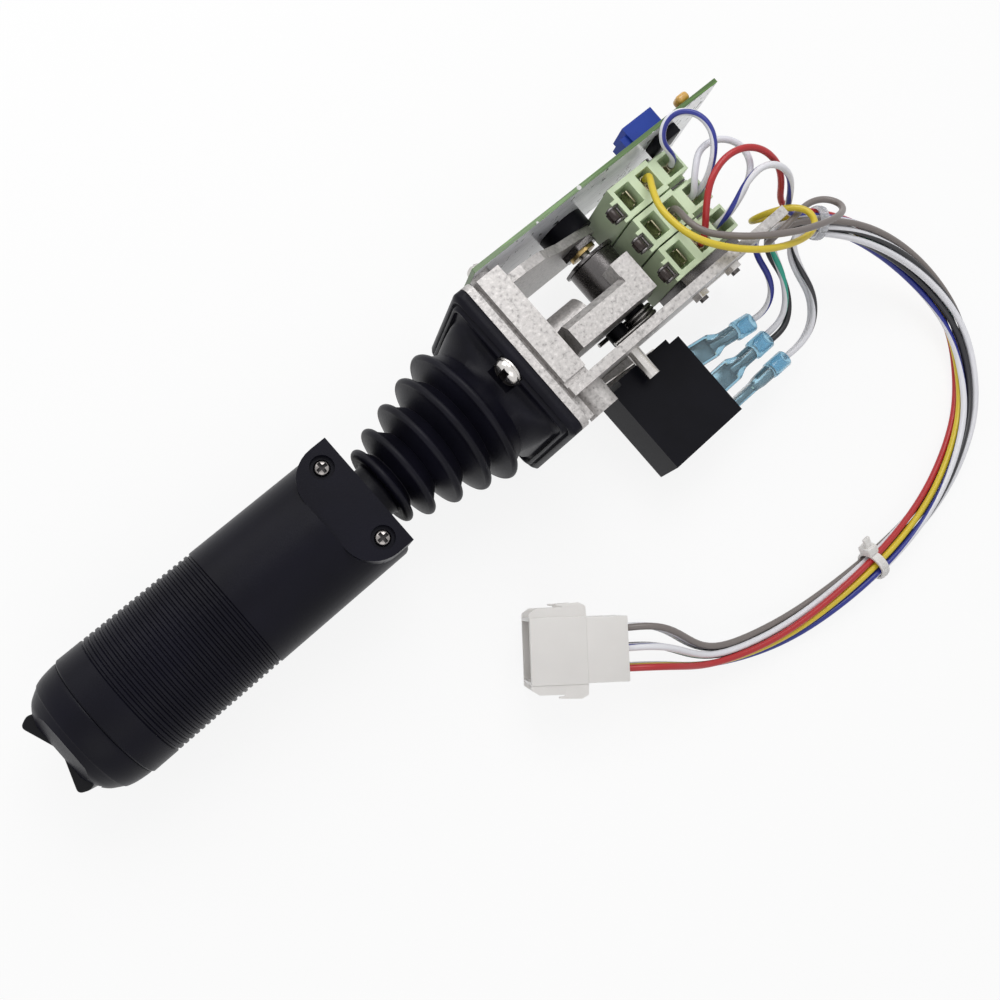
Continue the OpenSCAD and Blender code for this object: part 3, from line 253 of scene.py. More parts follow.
@dataclass(frozen=True)
class Finish:
    """A surface with a mottled colour, a fine grain and a roughness that varies with it.

    The grain and the mottle are counted per metre, and the grain's depth is in metres.
    """

    name: str
    slot: str
    colour: Colour
    roughness: float = 0.45
    metallic: float = 0.0
    grain: float = 2500.0
    depth: float = 0.00002
    mottle: float = 60.0
    contrast: float = 0.12
    coat: float = 0.0
    specular: float = 0.5
    stretch: Point = (1, 1, 1)
    roughness_sway = 0.07
    coat_roughness = 0.15
    mottle_edges = (0.3, 0.7)

    @property
    def label(self) -> str:
        """Names the material, apart from the CAD's own."""
        return "look_" + self.name

    def chain(self) -> NodeChain:
        """Builds the finish's nodes.

        Returns:
            The chain, for a finish that adds to it.
        """
        nodes = NodeChain(self.label)
        broad = nodes.noise(self.mottle, 4, self.stretch)
        fine = nodes.noise(self.grain, 2, self.stretch)
        dark, bright = self.mottle_edges
        nodes.drive("Base Color", nodes.ramp(broad, [
            (dark, shade(self.colour, 1 - self.contrast)), (bright, shade(self.colour, 1 + self.contrast))]))
        low, high = self.roughness - self.roughness_sway, self.roughness + self.roughness_sway
        nodes.drive("Roughness", nodes.span(fine, low, high))
        nodes.drive("Metallic", self.metallic)
        nodes.drive("Specular IOR Level", self.specular)
        if self.coat:
            nodes.drive("Coat Weight", self.coat)
            nodes.drive("Coat Roughness", self.coat_roughness)
        nodes.bump(fine, self.depth)
        return nodes

    def material(self) -> bpy.types.Material:
        """Gives the finish's material, made once."""
        return bpy.data.materials.get(self.label) or self.chain().material


@dataclass(frozen=True)
class CastFinish(Finish):
    """A die-cast surface with dark and bright specks, given as places on their noise with shades."""

    speck: float = 900.0
    shades: tuple[Pair, ...] = ((0.30, 0.55), (0.44, 0.90), (0.58, 1.0), (0.72, 1.22))

    def chain(self) -> NodeChain:
        """Builds the cast finish.

        Returns:
            The chain with its specks added.
        """
        nodes = super().chain()
        nodes.drive("Base Color", nodes.ramp(nodes.noise(self.speck, 6), [
            (place, shade(self.colour, level)) for place, level in self.shades]))
        return nodes


@dataclass(frozen=True)
class JacketFinish(Finish):
    """A wire's jacket, plain or with one stripe along it."""

    stripe: Colour | None = None
    stripe_width: float = 0.3
    stripe_blur = 0.012

    def chain(self) -> NodeChain:
        """Builds the jacket from the tube's own map, whose V goes round the wire.

        Returns:
            The chain with its stripe.
        """
        nodes = super().chain()
        if self.stripe:
            split = nodes.add("SeparateXYZ", Vector=nodes.coords.outputs["UV"])
            around = nodes.maths(Sum.LESS, nodes.maths(Sum.FRACTION, split.outputs["Y"]))
            edge = self.stripe_width / 2
            nodes.drive("Base Color", nodes.ramp(nodes.maths(Sum.SIZE, around), [
                (edge - self.stripe_blur, self.stripe), (edge + self.stripe_blur, self.colour)]))
        return nodes


@dataclass(frozen=True)
class NylonFinish(Finish):
    """Milky or clear nylon that lets light through."""

    clear: float = 0.3
    milk: float = 0.25
    glow: float = 0.002
    ior = 1.5

    def chain(self) -> NodeChain:
        """Builds the nylon.

        Returns:
            The chain with its transmission and scatter.
        """
        nodes = super().chain()
        nodes.drive("Transmission Weight", self.clear)
        nodes.drive("Subsurface Weight", self.milk)
        nodes.drive("Subsurface Radius", (self.glow, self.glow, self.glow))
        nodes.drive("IOR", self.ior)
        return nodes


@dataclass(frozen=True)
class BoardFinish(Finish):
    """A circuit board: lacquered green with tracks and soldered joints, and a shiny inner face whose near-white
    colour is partly its own and partly a painted reflection of white.
    """

    tin: Colour = (0.55, 0.55, 0.54)
    # Near white for the inner face, partly its own colour and partly a painted reflection of the white that the
    # shiny face mirrors.
    pale_and_reflection: Colour = (0.90, 0.91, 0.96)
    inked: Colour = (0.02, 0.02, 0.022)
    track_shade: float = 1.7
    line_shade: float = 0.7
    joints_scale: float = 190.0
    joint_edge: Pair = (0.17, 0.14)
    inner_from: Pair = (0.5, 0.6)
    varnish: Pair = (0.35, 0.08)

    def outer(self, nodes: NodeChain) -> bpy.types.NodeSocket:
        """Draws the lacquered face: lighter tracks under green, and dots of solder.

        Args:
            nodes: The chain to draw with.

        Returns:
            The colour socket.
        """
        track = shade(self.colour, self.track_shade)
        lacquer = nodes.ramp(nodes.noise(700, 0, (0.05, 1, 1)), [
            (0.46, self.colour), (0.475, track), (0.525, track), (0.54, self.colour)])
        dots = nodes.add("TexVoronoi", Vector=nodes.coords.outputs["Object"], Scale=self.joints_scale)
        return nodes.mix(nodes.edge(dots.outputs["Distance"], *self.joint_edge), lacquer, (*self.tin, 1))

    def inner(self, nodes: NodeChain) -> bpy.types.NodeSocket:
        """Draws the inner face: near white, partly a painted reflection of white, with dark marks and thin
        lines along it.

        Args:
            nodes: The chain to draw with.

        Returns:
            The colour socket.
        """
        marks = nodes.ramp(nodes.noise(340, 3, (1, 1, 0.55)), [(0.34, self.inked), (0.365, self.pale_and_reflection)])
        lines = nodes.ramp(nodes.noise(1500, 1, (0.06, 1, 1.4)), [
            (0.33, shade(self.pale_and_reflection, self.line_shade)), (0.38, (1, 1, 1))])
        return nodes.mix(1.0, marks, lines, Blend.TIMES)

    def chain(self) -> NodeChain:
        """Builds the board's two faces.

        Returns:
            The chain with the inner face mixed in.
        """
        nodes = super().chain()
        facing = nodes.add("SeparateXYZ", Vector=nodes.coords.outputs["Normal"])
        # Faces that look along +Y take the inner face's near white, which is partly a painted reflection.
        inside = nodes.edge(facing.outputs["Y"], *self.inner_from)
        nodes.drive("Base Color", nodes.mix(inside, self.outer(nodes), self.inner(nodes)))
        weight, roughness = self.varnish
        nodes.drive("Coat Weight", weight)
        nodes.drive("Coat Roughness", roughness)
        return nodes


class Look:
    """Every finish of the joystick: its name, the record's slot, its colour and how its surface is."""

    CAST = CastFinish("cast_metal", "cast_metal", (0.49, 0.47, 0.46), roughness=0.42, metallic=0.45, grain=1600,
                      depth=0.00008, contrast=0.1)
    RUBBER = Finish("black_rubber", "black_rubber", (0.0048, 0.0046, 0.009), roughness=0.42, grain=1400,
                    depth=0.00003, mottle=90, contrast=0.35, specular=0.13)
    GRIP = Finish("grip_plastic", "black_plastic", (0.0042, 0.004, 0.0085), roughness=0.38, grain=2600,
                  depth=0.00003, mottle=50, contrast=0.25, specular=0.11)
    ROCKER = Finish("rocker_plastic", "black_plastic", (0.0045, 0.0045, 0.006), roughness=0.34, grain=2600,
                    depth=0.00003, mottle=50, contrast=0.25, specular=0.14)
    PLASTIC = Finish("black_plastic", "black_plastic", (0.005, 0.005, 0.008), roughness=0.42, grain=3000,
                     mottle=80, contrast=0.25, specular=0.1)
    ROLLER = Finish("roller_plastic", "black_plastic", (0.022, 0.014, 0.012), roughness=0.25, metallic=0.3,
                    grain=1800, mottle=80, contrast=0.25)
    ZINC = Finish("bright_zinc", "bright_zinc", (0.62, 0.60, 0.58), roughness=0.20, metallic=1.0, grain=1800,
                  depth=0.00001, mottle=200)
    STEEL = Finish("turned_steel", "steel", (0.36, 0.35, 0.34), roughness=0.30, metallic=1.0, grain=900,
                   mottle=150, contrast=0.2, stretch=(0.1, 1, 1))
    DARK = Finish("dark_steel", "dark_steel", (0.12, 0.113, 0.113), roughness=0.27, metallic=0.9, grain=1500,
                  mottle=150, contrast=0.25)
    BRASS = Finish("brass", "brass", (0.50, 0.36, 0.15), roughness=0.30, metallic=1.0, grain=1500, mottle=120,
                   contrast=0.15)
    TARNISHED = Finish("tarnished_brass", "blade_brass", (0.24, 0.22, 0.15), roughness=0.26, metallic=1.0,
                       grain=1500, mottle=160, contrast=0.3)
    SCREW = Finish("dark_plated", "dark_steel", (0.30, 0.28, 0.27), roughness=0.22, metallic=1.0, grain=1500,
                   mottle=160, contrast=0.3)
    # Painted shade: the screws' cross recesses are coloured near black where shade falls in them.
    RECESS_SHADE = Finish("recess_painted_shade", "dark_steel", (0.035, 0.032, 0.032), roughness=0.4, metallic=0.6,
                    grain=1500, mottle=160, contrast=0.3)
    BLADE = Finish("blade_brass", "blade_brass", (0.62, 0.55, 0.42), roughness=0.28, metallic=1.0, grain=1500,
                   mottle=120)
    SWITCH = Finish("switch_green", "switch_green", (0.62, 0.74, 0.50), roughness=0.40, grain=2400,
                    depth=0.00003, mottle=70, contrast=0.05)
    TRIMMER = Finish("trimmer_blue", "trimmer_blue", (0.018, 0.05, 0.33), roughness=0.3, grain=2600, mottle=90,
                     contrast=0.1, specular=0.15)
    AMBER = Finish("cap_amber", "cap_amber", (0.60, 0.33, 0.05), roughness=0.25, grain=1200, depth=0.00003,
                   mottle=90, contrast=0.18, coat=0.6)
    BLUE_NYLON = NylonFinish("terminal_blue", "terminal_blue", (0.34, 0.61, 0.77), roughness=0.16, grain=900,
                             depth=0.00001, contrast=0.04, clear=0.88, milk=0.05)
    NYLON = NylonFinish("nylon_white", "nylon_white", (0.84, 0.82, 0.80), roughness=0.34, grain=1800,
                        depth=0.00001, mottle=70, contrast=0.02, clear=0.1, milk=0.9, glow=0.004)
    CLEAR = NylonFinish("tie_clear", "tie_clear", (0.84, 0.85, 0.88), roughness=0.20, grain=1800,
                        depth=0.00001, mottle=70, contrast=0.02, clear=0.6)
    BOARD = BoardFinish("board_green", "board_green", (0.048, 0.118, 0.013), roughness=0.32, grain=1500,
                        depth=0.00001, mottle=300, contrast=0.10)


def jacket(name: str, slot: str, colour: Colour, stripe: Colour | None = None,
           width: float = 0.3) -> JacketFinish:
    """Gives a wire's finish.

    Args:
        name: The finish's name after the word jacket.
        slot: The record's slot for its colour.
        colour: The jacket's colour.
        stripe: The stripe's colour, where it has one.
        width: The stripe's share of the way round.

    Returns:
        The finish.
    """
    return JacketFinish("jacket_" + name, slot, colour, roughness=0.34, grain=900, mottle=40, contrast=0.05,
                        stripe=stripe, stripe_width=width)


class Jacket:
    """The jackets of the harness and the jumpers."""

    WHITE_BASE = (0.78, 0.78, 0.82)
    JUMPER_BASE = (0.76, 0.76, 0.82)
    NAVY = (0.02, 0.03, 0.27)
    RED = jacket("red", "wire_red", (0.45, 0.018, 0.022))
    WHITE_BLUE = jacket("white_blue", "wire_white", WHITE_BASE, NAVY, 0.26)
    YELLOW = jacket("yellow", "wire_yellow", (0.68, 0.52, 0.03))
    GREY = jacket("grey", "wire_grey", (0.19, 0.165, 0.155))
    BLUE_STRIPE = jacket("blue_stripe", "wire_white", WHITE_BASE, (0.015, 0.025, 0.25), 0.5)
    BLACK = jacket("black", "wire_black", (0.014, 0.014, 0.018))
    YELLOW_STRIPE = jacket("yellow_stripe", "wire_white", WHITE_BASE, (0.02, 0.36, 0.26))
    BLACK_STRIPE = jacket("black_stripe", "wire_white", WHITE_BASE, (0.02, 0.02, 0.024))
    WHITE = jacket("white", "wire_white", WHITE_BASE)
    JUMPER_BLUE = jacket("jumper_blue", "wire_white", JUMPER_BASE, NAVY, 0.25)
    JUMPER_WHITE = jacket("jumper_white", "wire_white", JUMPER_BASE)


def metres(point: Point) -> Vector:
    """Turns millimetres into metres."""
    return Vector(point) * MM


def finished(obj: bpy.types.Object, finish: Finish, body: Body, node: str = "") -> bpy.types.Object:
    """Dresses a new piece, lets it ride and hides the CAD node that it stands for.

    Args:
        obj: The new piece.
        finish: What it is made of.
        body: The body that carries it.
        node: The node that it replaces, if any.

    Returns:
        The same piece.
    """
    if obj.data.materials:
        obj.data.materials.clear()
    obj.data.materials.append(finish.material())
    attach(obj, body.value)
    if node:
        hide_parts(node)
    return obj


def new_object(name: str, mesh: bpy.types.Mesh, smooth_angle: float = SMOOTH_UP_TO) -> bpy.types.Object:
    """Links a mesh into the scene with smooth shading up to an angle.

    Args:
        name: The piece's name.
        mesh: Its mesh.
        smooth_angle: Faces that meet at less than this, in degrees, are shaded as one.

    Returns:
        The new object.
    """
    obj = bpy.data.objects.new(name, mesh)
    bpy.context.scene.collection.objects.link(obj)
    mesh.shade_smooth()
    mark_sharp(mesh, smooth_angle)
    return obj


def mark_sharp(mesh: bpy.types.Mesh, angle: float) -> None:
    """Marks the edges whose faces meet at more than an angle.

    Args:
        mesh: The mesh to mark.
        angle: The limit in degrees.
    """
    work = bmesh.new()
    work.from_mesh(mesh)
    for edge in work.edges:
        edge.smooth = len(edge.link_faces) == 2 and edge.calc_face_angle(0.0) < math.radians(angle)
    work.to_mesh(mesh)
    work.free()


def dress_node(node: str, finish: Finish, round_mm: float = 0.25) -> bpy.types.Object:
    """Gives a CAD node its finish, with softly rounded edges.

    Args:
        node: The node's name.
        finish: Its finish.
        round_mm: Radius of its edges; 0 leaves them sharp.

    Returns:
        The node's object.
    """
    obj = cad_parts[node]
    obj.data.materials.clear()
    obj.data.materials.append(finish.material())
    weld = obj.modifiers.new("weld", "WELD")
    weld.merge_threshold = NODE_MERGED_WITHIN
    if round_mm:
        bevel = obj.modifiers.new("edges", "BEVEL")
        bevel.width = round_mm * MM
        bevel.segments = 2
        bevel.limit_method = "ANGLE"
        bevel.angle_limit = math.radians(NODE_ROUNDED_FROM)
        bevel.harden_normals = False
        bevel.use_clamp_overlap = True
    smooth = obj.modifiers.new("planes", "WEIGHTED_NORMAL")
    smooth.keep_sharp = True
    LOG.info("dressed %s as %s", node, finish.name)
    return obj


class Axis(Enum):
    """The axis that a profile is pushed or turned along, with the matrix that brings local Z onto it."""

    X = ((0, 0, 1, 0), (1, 0, 0, 0), (0, 1, 0, 0), (0, 0, 0, 1))
    Y = ((1, 0, 0, 0), (0, 0, 1, 0), (0, 1, 0, 0), (0, 0, 0, 1))
    Z = ((1, 0, 0, 0), (0, 1, 0, 0), (0, 0, 1, 0), (0, 0, 0, 1))


class Shape:
    """Rounded blocks, turned profiles, lofts and swept rods joined into one mesh, in millimetres."""

    def __init__(self) -> None:
        """Starts with nothing."""
        self.mesh = bmesh.new()

    def join(self, work: bmesh.types.BMesh, place: Matrix, round_by: float = 0.0, steps: int = 2) -> None:
        """Rounds a closed part's edges, puts it in its place and adds it.

        Args:
            work: The part, which is used up.
            place: Where it goes.
            round_by: Radius of its edges.
            steps: Segments over an edge.
        """
        work.normal_update()
        if round_by:
            least = math.radians(ROUNDED_FROM)
            edges = [e for e in work.edges if e.is_manifold and e.calc_face_angle(0.0) > least]
            bmesh.ops.bevel(work, geom=edges, offset=round_by, segments=steps, profile=0.5, affect="EDGES",
                            clamp_overlap=True)
        bmesh.ops.transform(work, matrix=place, verts=work.verts)
        work.normal_update()
        bmesh.ops.recalc_face_normals(work, faces=work.faces)
        if work.calc_volume(signed=True) < 0:
            bmesh.ops.reverse_faces(work, faces=work.faces)
        held = bpy.data.meshes.new("held")
        work.to_mesh(held)
        work.free()
        self.mesh.from_mesh(held)
        bpy.data.meshes.remove(held)

    def prism(self, axis: Axis, outline: list[Pair], low: float, high: float, round_by: float = 0.0,
              steps: int = 2, place: Matrix = Matrix()) -> None:
        """Pushes an outline along an axis.

        Args:
            axis: The axis; the outline's two values are the other two coordinates in order.
            outline: The corners.
            low: Where it starts on the axis.
            high: Where it ends.
            round_by: Radius of its edges.
            steps: Segments over an edge.
            place: Where the finished prism goes.
        """
        work = bmesh.new()
        ends = [[work.verts.new((u, v, w)) for u, v in outline] for w in (low, high)]
        count = len(outline)
        work.faces.new(ends[0])
        work.faces.new(list(reversed(ends[1])))
        for i in range(count):
            j = (i + 1) % count
            work.faces.new((ends[0][i], ends[1][i], ends[1][j], ends[0][j]))
        self.join(work, place @ Matrix(axis.value), round_by, steps)

    def block(self, low: Point, high: Point, round_by: float = 0.2, steps: int = 2,
              place: Matrix = Matrix()) -> None:
        """Adds a rounded block between two corners."""
        outline = [(low[0], low[1]), (high[0], low[1]), (high[0], high[1]), (low[0], high[1])]
        self.prism(Axis.Z, outline, low[2], high[2], round_by, steps, place)

    def turned(self, axis: Axis, profile: list[Pair], at: Point = (0, 0, 0), steps: int = 48,
               place: Matrix = Matrix()) -> None:
        """Turns a closed profile about an axis.

        Args:
            axis: The axis.
            profile: Pairs of place along the axis and radius.
            at: A point on the axis.
            steps: Segments round it.
            place: Where the finished piece goes.
        """
        work = bmesh.new()
        rings = []
        for k in range(steps):
            turn = math.tau * k / steps
            rings.append([work.verts.new((r * math.cos(turn), r * math.sin(turn), w)) for w, r in profile])
        count = len(profile)
        for k in range(steps):
            one, two = rings[k], rings[(k + 1) % steps]
            for i in range(count):
                j = (i + 1) % count
                if profile[i][1] > 0 or profile[j][1] > 0:
                    work.faces.new((one[i], two[i], two[j], one[j]))
        bmesh.ops.remove_doubles(work, verts=work.verts, dist=MERGED_WITHIN)
        self.join(work, place @ Matrix.Translation(at) @ Matrix(axis.value))

    def loft(self, rings: list[list[Vector]], capped: bool = True, place: Matrix = Matrix()) -> None:
        """Joins rings of equal count into a skin.

        Args:
            rings: The rings in order.
            capped: Whether the two ends are closed; otherwise the last ring joins the first.
            place: Where the finished skin goes.
        """
        work = bmesh.new()
        rows = [[work.verts.new(p) for p in ring] for ring in rings]
        count = len(rows[0])
        pairs = list(zip(rows, rows[1:])) + ([] if capped else [(rows[-1], rows[0])])
        for one, two in pairs:
            for i in range(count):
                j = (i + 1) % count
                work.faces.new((one[i], one[j], two[j], two[i]))
        if capped:
            work.faces.new(rows[0])
            work.faces.new(list(reversed(rows[-1])))
        bmesh.ops.remove_doubles(work, verts=work.verts, dist=MERGED_WITHIN)
        self.join(work, place)

    def rod(self, path: list[Vector], radius: float, sides: int = 12, place: Matrix = Matrix()) -> None:
        """Sweeps a round rod along a path."""
        self.loft(rings_along(path, radius, sides), place=place)

    def made(self, name: str, angle: float = SMOOTH_UP_TO) -> bpy.types.Object:
        """Turns the shape into an object in metres.

        Args:
            name: The piece's name.
            angle: The smooth angle in degrees.

        Returns:
            The new object.
        """
        bmesh.ops.transform(self.mesh, matrix=Matrix.Scale(MM, 4), verts=self.mesh.verts)
        mesh = bpy.data.meshes.new(name)
        self.mesh.to_mesh(mesh)
        self.mesh.free()
        return new_object(name, mesh, angle)


def rings_along(path: list[Vector], radius: float, sides: int,
                start: Point = (0.31, 0.52, 0.79)) -> list[list[Vector]]:
    """Gives the rings of a round section that follows a path without twisting.

    Args:
        path: The centre line.
        radius: The section's radius.
        sides: Points of each ring.
        start: A direction that the first point of the first ring leans to; never along the path.

    Returns:
        One ring for each point of the path.
    """
    normal = Vector(start)
    rings = []
    for i, point in enumerate(path):
        ahead = (path[min(i + 1, len(path) - 1)] - path[max(i - 1, 0)]).normalized()
        normal = (normal - ahead * normal.dot(ahead)).normalized()
        side = ahead.cross(normal)
        turns = [math.tau * k / sides for k in range(sides)]
        rings.append([point + radius * (normal * math.cos(turn) + side * math.sin(turn)) for turn in turns])
    return rings


def softened(outline: list[Pair], radius: float, steps: int = 4) -> list[Pair]:
    """Rounds the corners of an outline.

    Args:
        outline: The corners in order.
        radius: The corners' radius, held to the shorter edge beside each.
        steps: Segments over a corner.

    Returns:
        The rounded outline.
    """
    share, least = 0.45, 0.05
    result = []
    count = len(outline)
    for i, corner in enumerate(outline):
        here = Vector(corner)
        before, after = Vector(outline[i - 1]) - here, Vector(outline[(i + 1) % count]) - here
        half = before.angle(after) / 2
        reach = min(radius / max(math.tan(half), least), before.length * share, after.length * share)
        start, end = here + before.normalized() * reach, here + after.normalized() * reach
        for k in range(steps + 1):
            s = k / steps
            spot = start * (1 - s) ** 2 + here * 2 * s * (1 - s) + end * s ** 2
            result.append((spot.x, spot.y))
    return result


def box_radius(angle: float, half_y: float, half_z: float, corner: float) -> float:
    """Gives how far a rounded rectangle reaches in one direction.

    Args:
        angle: The direction in radians.
        half_y: Half its width.
        half_z: Half its height.
        corner: Its corners' radius; the half sizes make it a circle.

    Returns:
        The distance from its middle to its edge.
    """
    y, z = abs(math.cos(angle)), abs(math.sin(angle))
    cy, cz = half_y - corner, half_z - corner
    if z * half_y <= cz * y:
        return half_y / y
    if y * half_z <= cy * z:
        return half_z / z
    along = y * cy + z * cz
    return along + math.sqrt(max(along * along - cy * cy - cz * cz + corner * corner, 0.0))


def box_ring(x: float, half_y: float, half_z: float, corner: float, steps: int = 160) -> list[Vector]:
    """Gives a rounded rectangle's points across X, closer together towards its corners.

    Args:
        x: Where it stands on X.
        half_y: Half its width.
        half_z: Half its height.
        corner: Its corners' radius; the half sizes make it a circle.
        steps: How many points.

    Returns:
        The ring.
    """
    crowding = 0.17
    ring = []
    for k in range(steps):
        even = math.tau * k / steps
        turn = even + crowding * math.sin(4 * even)
        reach = box_radius(turn, half_y, half_z, corner)
        ring.append(Vector((x, reach * math.cos(turn), reach * math.sin(turn))))
    return ring


def carved(obj: bpy.types.Object, cutter: Shape, angle: float = SMOOTH_UP_TO,
           overlapping: bool = False) -> bpy.types.Object:
    """Cuts a shape out of a piece for good.

    Args:
        obj: The piece to cut.
        cutter: What is taken away.
        angle: The smooth angle afterwards, in degrees.
        overlapping: Whether the piece or the cutter has parts that run into one another.

    Returns:
        The same piece.
    """
    tool = cutter.made("cutter")
    cut = obj.modifiers.new("cut", "BOOLEAN")
    cut.operation = "DIFFERENCE"
    cut.solver = "EXACT"
    cut.use_self = overlapping
    cut.object = tool
    bpy.context.view_layer.update()
    seen = obj.evaluated_get(bpy.context.evaluated_depsgraph_get())
    mesh = bpy.data.meshes.new_from_object(seen)
    obj.modifiers.remove(cut)
    old = obj.data
    obj.data = mesh
    bpy.data.meshes.remove(old)
    held = tool.data
    bpy.data.objects.remove(tool)
    bpy.data.meshes.remove(held)
    mesh.shade_smooth()
    mark_sharp(mesh, angle)
    return obj


def catmull(points: list[Vector], steps: int) -> list[Vector]:
    """Runs a smooth curve through points.

    Args:
        points: The points that it passes.
        steps: New points for each stretch.

    Returns:
        The curve's points.
    """
    last = len(points) - 1
    curve = []
    for i in range(last):
        a, b, c, d = points[max(i - 1, 0)], points[i], points[i + 1], points[min(i + 2, last)]
        for k in range(steps):
            t = k / steps
            curve.append(0.5 * (2 * b + (c - a) * t + (2 * a - 5 * b + 4 * c - d) * t ** 2
                                + (3 * b - a - 3 * c + d) * t ** 3))
    curve.append(points[last].copy())
    return curve


def relaxed(curve: list[Vector], rounds: int, hold: int = 2) -> list[Vector]:
    """Eases a curve's bends and leaves its ends where they are.

    Args:
        curve: The curve's points.
        rounds: How often each point moves towards its neighbours' middle.
        hold: How many points at each end stay.

    Returns:
        The eased points.
    """
    points = [p.copy() for p in curve]
    for _ in range(rounds):
        points = points[:hold] + [
            points[i] * 0.5 + (points[i - 1] + points[i + 1]) * 0.25 for i in range(hold, len(points) - hold)
        ] + points[-hold:]
    return points


def length_of(points: list[Vector]) -> float:
    """Gives the length of a line of points."""
    return sum((b - a).length for a, b in zip(points, points[1:]))


def tube(name: str, path: list[Vector], diameter: float, sides: int = 20, turns: float = 0.0,
         phase: float = 0.0) -> bpy.types.Object:
    """Sweeps a round jacket along a path, with a map whose V goes round it.

    Args:
        name: The piece's name.
        path: The centre line, in metres.
        diameter: The tube's diameter, in metres.
        sides: Sides of its section.
        turns: How often the map winds round the tube on its way.
        phase: Where round the tube the map begins, as a share of the way round.

    Returns:
        The new object.
    """
    work = bmesh.new()
    uv = work.loops.layers.uv.new("jacket")
    rings = [[work.verts.new(spot) for spot in ring]
             for ring in rings_along(path, diameter / 2, sides, (0, 0, 1))]
    total = len(path) - 1
    for i in range(total):
        for k in range(sides):
            j = (k + 1) % sides
            face = work.faces.new((rings[i][k], rings[i][j], rings[i + 1][j], rings[i + 1][k]))
            spots = ((i, k), (i, k + 1), (i + 1, k + 1), (i + 1, k))
            for loop, (along, around) in zip(face.loops, spots):
                loop[uv].uv = (along / total, around / sides + phase + turns * along / total)
    work.faces.new(list(reversed(rings[0])))
    work.faces.new(rings[-1])
    bmesh.ops.recalc_face_normals(work, faces=work.faces)
    mesh = bpy.data.meshes.new(name)
    work.to_mesh(mesh)
    work.free()
    return new_object(name, mesh, 60.0)


@dataclass(frozen=True)
class Lamp:
    """A soft square lamp: its place in millimetres, its side in metres and its power in watts."""

    name: str
    at: Point
    side: float
    power: float

    def hang(self, target: Point) -> None:
        """Makes the lamp.

        Args:
            target: The point that it looks at, in millimetres.
        """
        data = bpy.data.lights.new(self.name, "AREA")
        data.size = self.side
        data.energy = self.power
        obj = bpy.data.objects.new(self.name, data)
        obj.location = metres(self.at)
        obj.rotation_euler = (metres(target) - obj.location).to_track_quat("-Z", "Y").to_euler()
        bpy.context.scene.collection.objects.link(obj)


@dataclass
class Studio:
    """The camera at the photograph's angle, the lamps, the world and the floor.

    The camera's nearest distance and the floor's reach are in metres, and angles are in degrees.
    """

    camera_at: Point = (109.66, 27.23, 311.14)
    camera_turn: Point = (10.06, -11.19, 137.87)
    lens: float = 37.56
    sensor: float = 36.0
    nearest: float = 0.01
    world_light: float = 0.5
    floor_z: float = -27.25
    floor_reach: float = 3.0
    floor_grey: float = 0.9
    floor_roughness: float = 0.9
    floor_white: float = 0.86
    lamps_look_at: Point = (0, 20, 0)
    lamps: tuple[Lamp, ...] = (
        Lamp("key", (-260, -320, 620), 0.45, 2.3), Lamp("fill", (420, 380, 520), 0.5, 0.7),
        Lamp("rim", (60, -420, 260), 0.3, 0.4))

    def camera(self) -> None:
        """Makes the scene's camera."""
        data = bpy.data.cameras.new("camera")
        data.lens = self.lens
        data.sensor_width = self.sensor
        data.clip_start = self.nearest
        obj = bpy.data.objects.new("camera", data)
        obj.location = metres(self.camera_at)
        obj.rotation_euler = Euler([math.radians(a) for a in self.camera_turn], "XYZ")
        bpy.context.scene.collection.objects.link(obj)
        bpy.context.scene.camera = obj

    def seen_white(self, tree: bpy.types.NodeTree) -> bpy.types.NodeSocket:
        """Gives 1 where the camera, a gloss or a clear body looks at the background.

        Args:
            tree: The node tree to build in.

        Returns:
            The factor socket.
        """
        path = tree.nodes.new("ShaderNodeLightPath")
        total = path.outputs["Is Camera Ray"]
        for ray in ("Is Glossy Ray", "Is Transmission Ray"):
            join = tree.nodes.new("ShaderNodeMath")
            join.operation = "MAXIMUM"
            tree.links.new(total, join.inputs[0])
            tree.links.new(path.outputs[ray], join.inputs[1])
            total = join.outputs["Value"]
        return total

    def world(self) -> None:
        """Makes a white world that lights the object at a plain level."""
        world = bpy.data.worlds.new("studio")
        world.use_nodes = True
        bpy.context.scene.world = world
        tree = world.node_tree
        back = tree.nodes["Background"]
        level = tree.nodes.new("ShaderNodeMapRange")
        level.inputs["To Min"].default_value = self.world_light
        level.inputs["To Max"].default_value = 1.0
        tree.links.new(self.seen_white(tree), level.inputs["Value"])
        back.inputs["Color"].default_value = (1, 1, 1, 1)
        tree.links.new(level.outputs["Result"], back.inputs["Strength"])

    def floor(self) -> None:
        """Lays a white floor that keeps the object's shadow."""
        mesh = bpy.data.meshes.new("floor")
        edge, z = self.floor_reach, self.floor_z * MM
        corners = [(-edge, -edge, z), (edge, -edge, z), (edge, edge, z), (-edge, edge, z)]
        mesh.from_pydata(corners, [], [(0, 1, 2, 3)])
        obj = bpy.data.objects.new("floor", mesh)
        bpy.context.scene.collection.objects.link(obj)
        material = bpy.data.materials.new("floor_white")
        material.use_nodes = True
        tree = material.node_tree
        shader = tree.nodes["Principled BSDF"]
        grey = self.floor_grey
        shader.inputs["Base Color"].default_value = (grey, grey, grey, 1)
        shader.inputs["Roughness"].default_value = self.floor_roughness
        glow = tree.nodes.new("ShaderNodeEmission")
        glow.inputs["Strength"].default_value = 1.0
        mix = tree.nodes.new("ShaderNodeMixShader")
        level = tree.nodes.new("ShaderNodeMapRange")
        level.inputs["To Max"].default_value = self.floor_white
        tree.links.new(self.seen_white(tree), level.inputs["Value"])
        tree.links.new(level.outputs["Result"], mix.inputs["Fac"])
        tree.links.new(shader.outputs["BSDF"], mix.inputs[1])
        tree.links.new(glow.outputs["Emission"], mix.inputs[2])
        tree.links.new(mix.outputs["Shader"], tree.nodes["Material Output"].inputs["Surface"])
        mesh.materials.append(material)

    def build(self) -> None:
        """Sets up the whole studio."""
        bpy.context.scene.view_settings.view_transform = "Standard"
        self.camera()
        self.world()
        for lamp in self.lamps:
            lamp.hang(self.lamps_look_at)
        self.floor()


